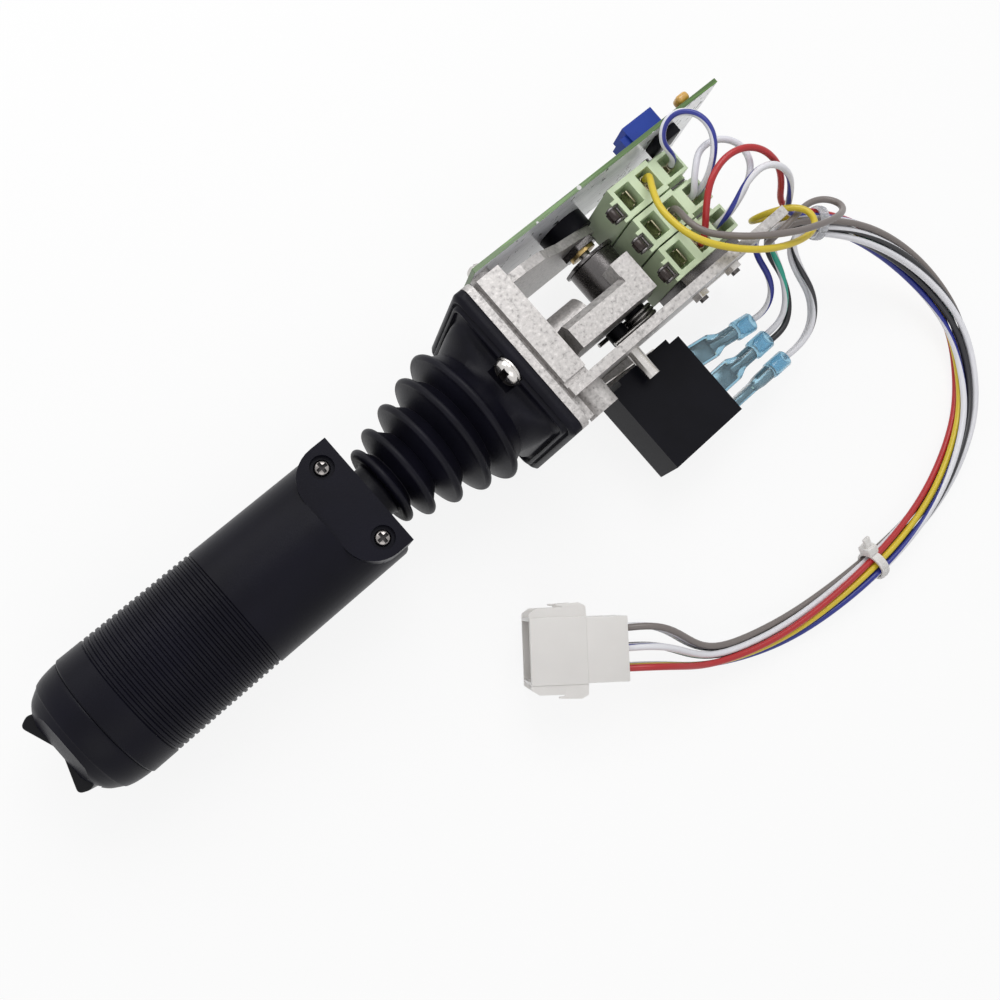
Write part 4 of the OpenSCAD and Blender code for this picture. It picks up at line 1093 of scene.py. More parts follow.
@dataclass(frozen=True)
class SwitchPlaces:
    """Where the three cam switches and their wire ends stand, as the part's source has them."""

    rows: Point = (-18.0, -5.9, 6.2)
    crimp_dy: Point = (-1.5, -0.6, 1.3)
    front_x: float = -73.9
    rear_x: float = -84
    rear_dx: float = 1.15


@dataclass
class Wire:
    """One wire: its name, place in the bundle, jacket, first bundle point and the chosen points before it.

    The jacket's map winds round the wire as often as turns says, from phase on, a share of the way round.
    """

    name: str
    slot: tuple[int, int]
    jacket: JacketFinish
    first: int
    start: list[Point]
    turns: float = 3.0
    phase: float = 0.0


@dataclass
class Harness:
    """The nine wires from the switches to the connector, the two jumpers and the ties.

    Steps is how many points a stretch of a centre line gets, and easing how often its bends are eased.
    """

    wire_d: float = 2.2
    pitch: float = 2.52
    twist: float = 360.0
    plug_pitch: float = 6.3
    plug_at: Point = (24.6, 88, -12)
    plug_turn: Point = (4, 6, 140.3)
    plug_lead: float = 14
    front_z: float = 18
    rear_z: float = 17
    exit_x: float = -87.45
    terminal_z: float = -12
    steps: int = 8
    easing: int = 14
    switches: SwitchPlaces = SwitchPlaces()
    route: list[Point] = field(default_factory=lambda: [
        (-109.4, 17, 1.5), (-121.4, 25, 2), (-133.4, 36, 0), (-146.4, 51, -8), (-154.4, 69, -15),
        (-155.4, 88, -19.5), (-147.4, 104, -22), (-133.4, 117, -22.5), (-112.4, 126, -22.5),
        (-91.4, 130, -22.3), (-66.4, 130, -21.2), (-38.4, 127, -21.8), (-16.4, 121, -20.5), (3.6, 111, -18.5)])

    def switch_wires(self) -> list[Wire]:
        """Gives the four wires that come from the cam switches, as the part's source has them.

        Returns:
            The wires.
        """
        ends = self.switches
        one, two, three = ends.rows
        dy_one, dy_two, dy_three = ends.crimp_dy
        front, rear, high = ends.front_x, ends.rear_x, self.front_z
        return [
            Wire("wire_red", (-1, 1), Jacket.RED, 1, [
                (front, three + dy_three, high), (-74.3, 6.9, 20.8), (-75.4, 4.6, 24), (-77.8, 0.5, 27.6),
                (-82.4, -4.5, 31.4), (-90.4, -7, 33), (-98.4, -5.5, 33), (-104.4, -1, 31), (-108.4, 5, 26),
                (-109.9, 9.6, 19), (-111.4, 12.4, 11.8), (-114.4, 15.6, 6.4), (-118.8, 18.6, 3.6)]),
            Wire("wire_white_blue", (0, 1), Jacket.WHITE_BLUE, 1, [
                (rear + ends.rear_dx, three, self.rear_z), (-83, 6.3, 20), (-84.6, 6.2, 23.6), (-88.4, 5, 26.4),
                (-92.9, 3, 28.8), (-99.7, 2.2, 31), (-105.1, 5.2, 30.5), (-109.9, 9.7, 25), (-111, 14, 17.5),
                (-111.4, 16.2, 11.6), (-113.4, 18, 7.6), (-117.4, 20.4, 5)]),
            Wire("wire_yellow", (-1, 0), Jacket.YELLOW, 0, [
                (front, one + dy_one, high), (-73.7, -19.2, 20.8), (-72, -18, 23.8), (-68.6, -14.6, 26.4),
                (-65.2, -9.6, 28.6), (-63.6, -3.6, 30.6), (-64.4, 4.5, 32), (-69.4, 12.5, 32),
                (-79.4, 21, 30.5), (-91.4, 26, 26.4), (-102.4, 28, 22.4), (-109.4, 26.5, 19.6),
                (-111.9, 22, 17.6), (-109.4, 17.5, 16), (-104.8, 14.4, 13.4), (-102.4, 12.6, 9.8),
                (-101.9, 11.8, 6), (-103.6, 11.8, 2.9), (-106.8, 12.8, 1.7)]),
            Wire("wire_grey", (1, 1), Jacket.GREY, 1, [
                (front, two + dy_two, high), (-73.5, -6, 20.8), (-71.9, -3.5, 24), (-69.9, 1, 27.5),
                (-70.9, 6.5, 29), (-76.4, 12.5, 29.6), (-84.4, 19, 30.5), (-96.9, 25.5, 29.3),
                (-110.4, 29, 25), (-120.4, 29.5, 19.5), (-124.4, 26.5, 15.5), (-122.4, 22, 13.4),
                (-116.4, 19.8, 13.4), (-109.4, 20.4, 13.6), (-104.2, 20.8, 13.5), (-100.8, 21, 12.1),
                (-99.4, 21, 8.7), (-100.8, 20.9, 5.3), (-104.2, 20.7, 3.9), (-109, 20.6, 3.8),
                (-114.5, 21.8, 4.6)])]

    def terminal_wires(self) -> list[Wire]:
        """Gives the five wires that come from the limit switch's terminals, as the part's source has them.

        Returns:
            The wires.
        """
        out, low, apart = self.exit_x, self.terminal_z, 1.2
        return [
            Wire("wire_blue_stripe", (-1, -1), Jacket.BLUE_STRIPE, 0, [
                (out, 37.3, low), (-93.9, 37.6, -11), (-98.4, 34.5, -8), (-100.4, 29, -5.5), (-100.9, 23, -4.4),
                (-103.4, 17.8, -3.4)]),
            Wire("wire_black", (0, -1), Jacket.BLACK, 1, [
                (out, 46.8, low), (-95.4, 46.6, -11), (-101.4, 41.4, -8.9), (-104.4, 33, -6),
                (-104.6, 26.6, -4.6), (-105.6, 21.8, -3.4), (-108.8, 18.8, -2.4), (-113.4, 19.8, -1.4)]),
            Wire("wire_yellow_stripe", (0, 0), Jacket.YELLOW_STRIPE, 1, [
                (out, 44.3, low), (-95.4, 43.8, -9.7), (-100.4, 39, -6.5), (-102.9, 32, -3), (-103.9, 26, -0.8),
                (-105.4, 21.4, 0.6), (-108.6, 18.6, 1.4), (-113.4, 19.6, 1.8)]),
            Wire("wire_black_stripe", (1, 0), Jacket.BLACK_STRIPE, 1, [
                (out, 54.6, low + apart), (-96.4, 54.6, -9.4), (-103.4, 51, -6.6), (-107.4, 44, -3.5),
                (-108, 36, -0.8), (-109, 29.6, 1.4), (-111.4, 26, 2.4), (-115.2, 24.9, 3)]),
            Wire("wire_white", (1, -1), Jacket.WHITE, 1, [
                (out, 54.6, low - apart), (-96.4, 54.6, -12), (-103.4, 51, -9.2), (-107.4, 44, -6),
                (-107.6, 36.6, -3.5), (-108.4, 30.4, -1.5), (-110.8, 26.7, -0.3), (-114.6, 25.8, 0.6)])]

    def jumpers(self) -> list[Wire]:
        """Gives the two short wires between the switches' rear terminals.

        Returns:
            The jumpers.
        """
        rear, dx, top = self.switches.rear_x, self.switches.rear_dx, self.rear_z
        one, two, three = self.switches.rows
        return [
            Wire("jumper_blue", (0, 0), Jacket.JUMPER_BLUE, 0, [
                (rear - dx, one, top), (-85, -18.6, 20.4), (-83.7, -20.8, 23.2), (-82.6, -24, 25.6),
                (-84.4, -27, 28.4), (-88, -27.8, 30.6), (-91.4, -26, 31.8), (-93.6, -22.4, 32.6),
                (-94, -18, 32.6), (-92.6, -13.6, 31.8), (-90, -9.8, 29.4), (-87, -6.9, 25.6),
                (-85.5, -5.8, 21.4), (rear - dx, two, top)], 0.5, 0.37),
            Wire("jumper_white", (0, 0), Jacket.JUMPER_WHITE, 0, [
                (rear + dx, two, top), (-82.9, -6.3, 20.4), (-84, -8.9, 22.9), (-86.9, -12, 24.5),
                (-90.6, -14.6, 25.2), (-95, -14.6, 26.4), (-99, -12.4, 27), (-101.6, -8.4, 27.2),
                (-101.6, -3.6, 27), (-99.2, 0.4, 26.4), (-95, 3.2, 25.2), (-90.4, 5, 23.8), (-87, 6, 22),
                (-85.3, 6.2, 19.8), (rear - dx, three, top)], 0.5)]

    def bundle_point(self, index: int, slot: tuple[int, int]) -> Point:
        """Gives a wire's place at one of the bundle's points.

        Args:
            index: Which point of the route.
            slot: The wire's place in the bundle, side then up.

        Returns:
            The point in millimetres.
        """
        spots = [Vector(p) for p in self.route]
        last = len(spots) - 1
        ahead = (spots[min(index + 1, last)] - spots[max(index - 1, 0)]).normalized()
        side = ahead.cross(Vector((0, 0, 1))).normalized()
        up = side.cross(ahead)
        turn = math.radians(self.twist * index / last)
        across = self.pitch * (slot[0] * math.cos(turn) - slot[1] * math.sin(turn))
        above = self.pitch * (slot[0] * math.sin(turn) + slot[1] * math.cos(turn))
        return tuple(spots[index] + side * across + up * above)

    def plug_matrix(self) -> Matrix:
        """Gives the connector's place: local X runs out of its wire end, in millimetres."""
        roll, tilt, yaw = (math.radians(a) for a in self.plug_turn)
        return Matrix.Translation(self.plug_at) @ Euler((roll, -tilt, yaw), "XYZ").to_matrix().to_4x4()

    def plug_point(self, slot: tuple[int, int], out: float) -> Point:
        """Gives a way of the connector, or a point straight out from it, in millimetres."""
        return tuple(self.plug_matrix() @ Vector((out, slot[0] * self.plug_pitch, slot[1] * self.plug_pitch)))

    def centre_line(self, points: list[Point]) -> list[Vector]:
        """Gives a wire's eased centre line in metres."""
        return relaxed(catmull([metres(p) for p in points], self.steps), self.easing)

    def jacketed(self, wire: Wire, path: list[Vector]) -> bpy.types.Object:
        """Builds a wire's jacket in its node's place.

        Args:
            wire: The wire.
            path: Its centre line in metres.

        Returns:
            The dressed jacket.
        """
        LOG.info("%s is %.0f mm long", wire.name, length_of(path) / MM)
        jacket_tube = tube(wire.name + "_jacket", path, self.wire_d * MM, turns=wire.turns, phase=wire.phase)
        return finished(jacket_tube, wire.jacket, Body.FRAME, wire.name)

    def lay_wire(self, wire: Wire) -> None:
        """Args:
            wire: The wire.
        """
        points = wire.start + [self.bundle_point(i, wire.slot) for i in range(wire.first, len(self.route))]
        points += [self.plug_point(wire.slot, self.plug_lead), self.plug_point(wire.slot, 0)]
        path = self.centre_line(points)
        obj = self.jacketed(wire, path)

    def lay_jumper(self, wire: Wire) -> None:
        """Args:
            wire: The jumper.
        """
        path = self.centre_line(wire.start)
        obj = self.jacketed(wire, path)

    def build(self) -> None:
        """Makes the connector, lays every wire and ties the bundle."""
        plug = Connector(self).build()
        for wire in self.switch_wires() + self.terminal_wires():
            self.lay_wire(wire)
        for wire in self.jumpers():
            self.lay_jumper(wire)
        Ties(self).build()


@dataclass(frozen=True)
class Screw:
    """A domed screw with a cross recess; its head's and shank's sizes are in millimetres."""

    head_d: float
    head_h: float
    shank_d: float
    shank_l: float
    spread: float = 0.34
    arm_share = 0.3
    floor_share = 0.1
    fullness = 0.75
    dome_step = 9
    tip = (0.4, 0.3)
    brim = 0.15
    skin = 0.02

    def blank(self, name: str, at: Point, out: Axis, sign: int) -> bpy.types.Object:
        """Turns the screw without its recess.

        Args:
            name: The piece's name.
            at: The middle of the head's seat.
            out: The axis that it stands on.
            sign: 1 where the head faces up the axis, -1 where it faces down.

        Returns:
            The blank.
        """
        bends = [math.radians(d) for d in range(0, 90, self.dome_step)]
        height, head = sign * self.head_h, self.head_d / 2
        dome = [(height * math.sin(a), head * math.cos(a) ** self.fullness) for a in bends]
        shank, end, (lead, narrower) = self.shank_d / 2, -sign * self.shank_l, self.tip
        shape = Shape()
        shape.turned(out, [(end, 0), (end, shank - narrower), (-sign * (self.shank_l - lead), shank),
                           (0, shank), (0, head - self.brim)] + dome + [(height, 0)], at)
        return shape.made(name)

    def made(self, name: str, at: Point, out: Axis, sign: int) -> bpy.types.Object:
        """Makes the screw, with the recess's faces on its second material, which is painted shade.

        Args:
            name: The piece's name.
            at: The middle of the head's seat.
            out: The axis that it stands on.
            sign: 1 where the head faces up the axis, -1 where it faces down.

        Returns:
            The screw, not yet dressed.
        """
        reach, width = self.head_d * self.spread, self.head_d * self.spread * self.arm_share
        quarter = [(reach, width), (width, width), (width, reach)]
        arms = quarter + [(-u, v) for u, v in reversed(quarter)]
        arms += [(-u, -v) for u, v in quarter] + [(u, -v) for u, v in reversed(quarter)]
        cross = Shape()
        low, high = sorted((sign * self.head_h * self.floor_share, sign * (self.head_h + 1)))
        cross.prism(out, arms, low, high, place=Matrix.Translation(at))
        screw = carved(self.blank(name, at, out, sign), cross)
        axis = "XYZ".index(out.name)
        # Faces inside the cross recess take the second material, which paints shade there.
        for face in screw.data.polygons:
            rel = face.center / MM - Vector(at)
            along, lean = rel[axis] * sign, abs(face.normal[axis])
            near, far = sorted(abs(rel[k]) for k in range(3) if k != axis)
            deep = along / self.head_h
            inside = near < width + self.skin and far < reach + self.skin and deep > self.floor_share / 2
            if inside and (lean < 0.1 or deep < self.floor_share * 2):
                face.material_index = 1
        return screw


@dataclass
class Boot:
    """The rubber boot: bellows, a skirt that runs from round to square, and a rim with a raised ridge.

    Sections are distance along X, half the width, half the height and the corners' radius.
    """

    folds: list[Pair] = field(default_factory=lambda: [
        (57.6, 8.8), (52.9, 8.9), (51.2, 13.6), (47.8, 9.3), (44.6, 16.4), (39.6, 11.2), (35.8, 18.9),
        (30.9, 14.2), (26.4, 21.5), (21.9, 17.0), (17.8, 24.0), (11.6, 19.7)])
    lobe: float = 1.55
    crest: tuple[Pair, ...] = ((1, 1.9), (0.72, 0.55), (0, 0), (-0.72, 0.55), (-1, 1.9))
    valley: tuple[Pair, ...] = ((0.35, 0.25), (0, 0), (-0.35, 0.25))
    skirt: tuple[Section, ...] = (
        (9.4, 20.6, 18.7, 15), (7.6, 21.7, 18.9, 10), (6.0, 22.2, 19, 7), (4.9, 22.4, 19.1, 6),
        (4.2, 22.6, 19.5, 5.6), (3.8, 23.0, 21.4, 4.6), (3.7, 23.2, 23.2, 3.4))
    ridge: tuple[Point, ...] = (
        (4.5, 23.4, 3.2), (4.8, 23.7, 3.2), (4.8, 24.2, 3.2), (4.5, 24.5, 3.2), (3.3, 24.7, 3.1),
        (3.1, 24.9, 3.1), (3.3, 25.2, 3.1), (3.7, 25.5, 3.1))
    wall: float = 1.4
    half: float = 27.2
    corner: float = 3.2
    back_x: float = 0.02
    rim_t: float = 3.8
    mouth_r: float = 16.2
    screw_z: float = 22
    screw_hole_r: float = 2.3
    pocket_d: float = 10.6
    pocket_x: float = 8.4
    stretch: Pair = (2, 52)
    smooth: float = 50.0

    def bellows(self) -> list[Vector]:
        """Gives the folds' outline with fat round crests and narrow valleys.

        Returns:
            Points of distance along X and radius.
        """
        spots = []
        last = len(self.folds) - 1
        for i, (x, r) in enumerate(self.folds):
            if 0 < i < last and r > self.folds[i - 1][1] and r > self.folds[i + 1][1]:
                spots += [(x + self.lobe * along, r - drop) for along, drop in self.crest]
            elif 1 < i < last:
                spots += [(x + along, r + rise) for along, rise in self.valley]
            else:
                spots.append((x, r))
        return catmull([Vector((x, r, 0)) for x, r in spots], 4)

    def rings(self) -> list[list[Vector]]:
        """Gives the boot's rings, down the outside and back up the inside.

        Returns:
            Rings of equal count that close on themselves.
        """
        half, inner, open_end = self.half, self.mouth_r, 3
        outline = self.bellows()
        rim = [(x, size, self.corner) for x, size in (
            (3.8, 25.8), (3.7, 26.1), (2.7, half - 0.1), (2.4, half), (0.3, half), (self.back_x, half - 0.3))]
        mouth = [(self.back_x, inner, inner), (self.pocket_x + 0.7, inner, inner)]
        rings = [box_ring(p.x, p.y, p.y, p.y) for p in outline]
        rings += [box_ring(*section) for section in self.skirt]
        rings += [box_ring(x, size, size, corner) for x, size, corner in list(self.ridge) + rim + mouth]
        inside = [(p.x, p.y - self.wall) for p in reversed(outline[:-open_end])]
        return rings + [box_ring(x, r, r, r) for x, r in inside]

    def build(self) -> None:
        """Makes the boot with its screw pockets in place of the CAD boot."""
        shape = Shape()
        shape.loft(self.rings(), capped=False)
        pockets, hole, wide = Shape(), self.screw_hole_r, self.pocket_d / 2
        for side in SIDES:
            pockets.turned(Axis.X, [(-1, 0), (-1, hole), (self.rim_t, hole), (self.rim_t, wide),
                                    (self.pocket_x, wide), (self.pocket_x, 0)], (0, 0, side * self.screw_z), 64)
        boot = carved(shape.made("boot_rubber", self.smooth), pockets, self.smooth)
        boot.data.materials.clear()
        boot.data.materials.append(Look.RUBBER.material())
        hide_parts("boot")
        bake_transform(boot)
        LOG.info("boot has %d faces", len(boot.data.polygons))


@dataclass
class Fasteners:
    """The flange's domed screws, the board's screws and the four screws in the grip's flats."""

    flange_screw: Screw = Screw(9.3, 3.2, 4.0, 13.5, 0.42)
    flange_seat: float = 4.5
    flange_z: float = 22
    board_screw: Screw = Screw(5.6, 2.0, 3.0, 7.9)
    board_y: float = -29.4
    board_spots: tuple[Pair, ...] = ((-9.2, 20), (-9.2, -8))
    flat_screw: Screw = Screw(5.0, 1.5, 3.4, 12.0)
    flat_x: float = 64.2
    flat_y: float = 13.1
    flat_z: float = 17.4
    flat_spots: tuple[tuple[int, int], ...] = ((-1, 1), (1, 1), (-1, -1), (1, -1))

    def build(self) -> None:
        """Makes every screw."""
        seat, away = self.flange_seat, self.flange_z
        flange = [self.flange_screw.made("flange_screw_" + end, (seat, 0, s * away), Axis.X, 1)
                  for end, s in (("top", 1), ("low", -1))]
        board = [self.board_screw.made(f"board_screw_{n}", (x, self.board_y, z), Axis.Y, -1)
                 for n, (x, z) in enumerate(self.board_spots)]
        x, half_y, half_z = self.flat_x, self.flat_y, self.flat_z
        flats = [self.flat_screw.made(f"flat_screw_{n}", (x, y * half_y, s * half_z), Axis.Z, s)
                 for n, (y, s) in enumerate(self.flat_spots)]
        for group, node, finish, body in ((flange, "flange_screws", Look.ZINC, Body.FRAME),
                                          (board, "board_screws", Look.ZINC, Body.FRAME),
                                          (flats, "flat_screws", Look.SCREW, Body.LEVER)):
            for obj in group:
                finished(obj, finish, body, node)
                # The second material paints shade into each screw's cross recess.
                obj.data.materials.append(Look.RECESS_SHADE.material())
            LOG.info("made %d pieces for %s", len(group), node)


@dataclass
class GripEnd:
    """The grip's domed cap with its two facets, and the V-shaped thumb rocker."""

    seam_x: float = 152.65
    tip_x: float = 167.2
    slot: Point = (155.2, 14.4, 6.5)
    profile: list[Pair] = field(default_factory=lambda: [
        (152.65, 19.4), (152.9, 19.9), (154.6, 19.85), (157.6, 19.4), (159.8, 18.7), (160.1, 18.35),
        (161.8, 17.3), (163.5, 16.1), (165.0, 14.2), (166.2, 11.4), (166.9, 8.0), (167.15, 4)])
    facet: tuple[Pair, ...] = ((166.7, 5.6), (162.6, 14.6), (160.4, 26), (175, 26), (175, 5.6))
    clear: float = 30
    horn: float = 13
    reach: float = 169.6
    notch: Pair = (-3.4, 1.6)
    horn_tip: tuple[Pair, ...] = ((0, -1.2), (-3, 0.2))
    root: Pair = (157.6, -3.4)
    rocker_t: float = 12.4
    cap_smooth: float = 28.0

    def cap(self) -> None:
        """Makes the cap, cut for the rocker and flattened beside it."""
        curve = catmull([Vector((x, r, 0)) for x, r in self.profile], 5)
        shape = Shape()
        shape.turned(Axis.X, [(self.seam_x, 0)] + [(p.x, p.y) for p in curve] + [(self.tip_x, 0)], steps=160)
        cut = Shape()
        floor, y, z = self.slot
        cut.block((floor, -y, -z), (self.tip_x + 6, y, z), 0)
        for side in SIDES:
            cut.prism(Axis.Y, [(x, side * height) for x, height in self.facet], -self.clear, self.clear)
        cap = carved(shape.made("cap_dome"), cut, self.cap_smooth, overlapping=True)
        finished(cap, Look.GRIP, Body.LEVER, "grip_cap")

    def rocker(self) -> None:
        """Makes the rocker with its two horns."""
        w, tip = self.horn, self.reach
        horn = [(tip + self.notch[0], self.notch[1])] + [(tip + x, w + y) for x, y in self.horn_tip]
        horn.append((self.root[0], w + self.root[1]))
        outline = softened([(x, -y) for x, y in reversed(horn)] + horn, 2.1, 6)
        shape = Shape()
        shape.prism(Axis.Z, outline, -self.rocker_t / 2, self.rocker_t / 2, 0.55, 3)
        finished(shape.made("rocker_body"), Look.ROCKER, Body.ROCKER, "rocker")

    def build(self) -> None:
        """Makes both pieces."""
        self.cap()
        self.rocker()
        LOG.info("made the cap and the rocker")


@dataclass
class CamSwitches:
    """The crimps, blades and rollers of the three cam switches.

    A crimp's rings are given as their distance from the wire's end, outer and inner radius, and how far they
    stay below the crimp's top. A block is given as its low and high corners, measured from its row.
    """

    places: SwitchPlaces = SwitchPlaces()
    floor_z: float = 14
    crimp_top: float = 17.6
    crimp_rings: tuple[Section, ...] = ((0, 1.5, 1.2, 0), (2.3, 1.05, 0.72, 1.1))
    crimp_base: tuple[Pair, Pair] = ((-0.2, 3.4), (-0.55, 0.55))
    socket: tuple[Pair, ...] = ((13, 1.15), (13, 1.42), (16.4, 1.42), (16.5, 1.3), (16.5, 1.18))
    blade_x: float = -65.2
    blade_z: Pair = (13.9, 19.6)
    blade_half: Pair = (0.35, 2.3)
    lug_top: float = 17.4
    lug_x: Pair = (-1.5, 0.3)
    lug_y: Pair = (2.5, 0.25)
    hinge: Pair = (-58.4, 19.9)
    roller: Pair = (-55, 21.6)
    roller_y: float = 1.9
    fork_hinge: tuple[Pair, ...] = ((-1.0, -0.9), (0.9, -1.0))
    fork_roller: tuple[Pair, ...] = ((1.2, -0.9), (1.0, 0.9), (-0.9, 1.1))
    fork_back: Pair = (-1.0, 0.9)
    cheek: Pair = (1.8, 2.5)
    hinge_axle: tuple[Pair, ...] = ((3.9, 0.5), (3.8, 0.6))
    roller_axle: tuple[Pair, ...] = ((2.7, 0.45), (2.6, 0.58))
    wheel: tuple[Pair, ...] = ((1.7, 0.62), (1.7, 1.5), (1.6, 1.72), (1.4, 1.8))

    def crimp(self, shape: Shape, x: float, y: float, turn: float) -> None:
        """Adds one crimp: a ring round the jacket, a smaller ring round the bare strands and their base.

        Args:
            shape: The shape to add to.
            x: The wire's place along X.
            y: The wire's place along Y.
            turn: Which way the smaller ring lies, in degrees from +X.
        """
        low = self.floor_z
        place = Matrix.Translation((x, y, 0)) @ Matrix.Rotation(math.radians(turn), 4, "Z")
        for away, outer, inner, drop in self.crimp_rings:
            high = self.crimp_top - drop
            shape.turned(Axis.Z, [(low, inner), (low, outer), (high - 0.1, outer), (high, outer - 0.1),
                                  (high, inner + 0.05), (high - 0.1, inner)], (away, 0, 0), 28, place)
        (x_low, x_high), (y_low, y_high) = self.crimp_base
        shape.block((x_low, y_low, low), (x_high, y_high, low + 1.2), 0.15, place=place)

    def wiring(self) -> None:
        """Makes the crimps and the standing blades."""
        crimps, blades, ends = Shape(), Shape(), self.places
        x, (low, high), (thin, wide) = self.blade_x, self.blade_z, self.blade_half
        (back, front), (away, thick) = self.lug_x, self.lug_y
        for y, dy in zip(ends.rows, ends.crimp_dy):
            self.crimp(crimps, ends.front_x, y + dy, 90 if dy < 0 else -90)
            for side in SIDES:
                crimps.turned(Axis.Z, list(self.socket), (ends.rear_x + side * ends.rear_dx, y, 0), 24)
        finished(crimps.made("crimp_rings"), Look.BLADE, Body.FRAME, "switch_crimps")
        for y in ends.rows:
            blades.block((x - thin, y - wide, low), (x + thin, y + wide, high), 0.15)
            for side in SIDES:
                lug = y + side * away
                blades.block((x + back, lug - thick, low), (x + front, lug + thick, self.lug_top), 0.12)
        finished(blades.made("blade_row"), Look.TARNISHED, Body.FRAME, "switch_blades")

    @staticmethod
    def spindle(y: float, half: tuple[Pair, ...], closed: bool) -> list[Pair]:
        """Gives a profile that is the same on both sides of a middle.

        Args:
            y: The middle.
            half: Distances from the middle with their radii, from the end inwards.
            closed: Whether the ends are closed to the axis.

        Returns:
            The profile, from low to high.
        """
        end = [(half[0][0], 0)] if closed else []
        one = end + list(half)
        return [(y - away, r) for away, r in one] + [(y + away, r) for away, r in reversed(one)]

    def roller_lever(self, index: int) -> None:
        """Makes one roller with its two cheeks and axles.

        Args:
            index: Which switch, from the board.
        """
        y = self.places.rows[index] + self.roller_y
        (hx, hz), (rx, rz) = self.hinge, self.roller
        body = Body(f"roller_{index + 1}")
        cheeks = Shape()
        corners = [(hx + x, hz + z) for x, z in self.fork_hinge]
        corners += [(rx + x, rz + z) for x, z in self.fork_roller]
        outline = softened(corners + [(hx + self.fork_back[0], hz + self.fork_back[1])], 0.8)
        for side in SIDES:
            low, high = sorted((y + side * self.cheek[0], y + side * self.cheek[1]))
            cheeks.prism(Axis.Y, outline, low, high, 0.12)
        cheeks.turned(Axis.Y, self.spindle(y, self.hinge_axle, True), (hx, 0, hz), 24)
        cheeks.turned(Axis.Y, self.spindle(y, self.roller_axle, True), (rx, 0, rz), 24)
        finished(cheeks.made(f"roller_fork_{index + 1}"), Look.DARK, body, f"roller_lever_{index + 1}")
        wheel = Shape()
        wheel.turned(Axis.Y, self.spindle(y, self.wheel, False), (rx, 0, rz), 40)
        finished(wheel.made(f"roller_wheel_{index + 1}"), Look.ROLLER, body)

    def build(self) -> None:
        """Makes the wiring ends and the three roller levers."""
        self.wiring()
        for index in range(len(self.places.rows)):
            self.roller_lever(index)
        LOG.info("made the crimps, blades and rollers")


@dataclass
class Terminals:
    """The three insulated flat terminals on the limit switch's blades, in sections from the mouth back."""

    mouth_x: float = -59.45
    z: float = -12
    slack: float = 1.05
    rows: Point = (33, 45.5, 54.6)
    roll: Point = (0, 0, 90)
    yaw: Point = (9, 0, 0)
    sections: list[Section] = field(default_factory=lambda: [
        (0.0, 4.3, 1.7, 0.7), (-10.0, 4.3, 1.75, 0.8), (-10.6, 4.2, 1.8, 0.9), (-13.4, 2.95, 2.1, 1.4),
        (-14.0, 2.85, 2.35, 2.0), (-15.2, 2.75, 2.55, 2.4), (-19.8, 2.75, 2.6, 2.45), (-20.4, 2.8, 2.65, 2.5),
        (-21.0, 3.4, 3.0, 2.7), (-21.5, 3.5, 3.05, 2.8), (-27.8, 3.5, 3.05, 2.8), (-27.95, 3.4, 2.95, 2.7)])
    hollow: list[Section] = field(default_factory=lambda: [
        (-27.95, 2.5, 2.15, 2.0), (-23.2, 2.3, 2.0, 1.9), (-21.8, 1.7, 1.7, 1.6)])
    blade: tuple[Point, Point] = ((-9.4, -3.3, -0.95), (-0.6, 3.3, 0.95))
    barrel: tuple[Section, ...] = (
        (-9.2, 3.0, 0.8, 0.5), (-11.8, 1.6, 1.2, 0.9), (-13.4, 1.7, 1.7, 1.7), (-20.6, 1.7, 1.7, 1.7))

    def place(self, index: int) -> Matrix:
        """Gives a terminal's place, with local X out of its mouth.

        Args:
            index: Which terminal, from the rail.

        Returns:
            The matrix, in millimetres.
        """
        seat = Matrix.Translation((self.mouth_x + self.slack, self.rows[index], self.z))
        turn = Matrix.Rotation(math.radians(-self.yaw[index]), 4, "Z") @ Matrix.Rotation(
            math.radians(self.roll[index]), 4, "X")
        return seat @ turn @ Matrix.Translation((-1, 0, 0))

    def build(self) -> None:
        """Makes the three sleeves and the metal inside them."""
        for index in range(len(self.rows)):
            place = self.place(index)
            sleeve = Shape()
            sleeve.loft([box_ring(*s, steps=56) for s in self.sections + self.hollow], place=place)
            finished(sleeve.made(f"terminal_sleeve_{index + 1}", 40.0), Look.BLUE_NYLON, Body.FRAME,
                     "blue_terminals")
            metal = Shape()
            metal.block(*self.blade, 0.35, 2, place)
            metal.loft([box_ring(*s, steps=32) for s in self.barrel], place=place)
            finished(metal.made(f"terminal_metal_{index + 1}"), Look.SCREW, Body.FRAME)
        LOG.info("made the insulated terminals")


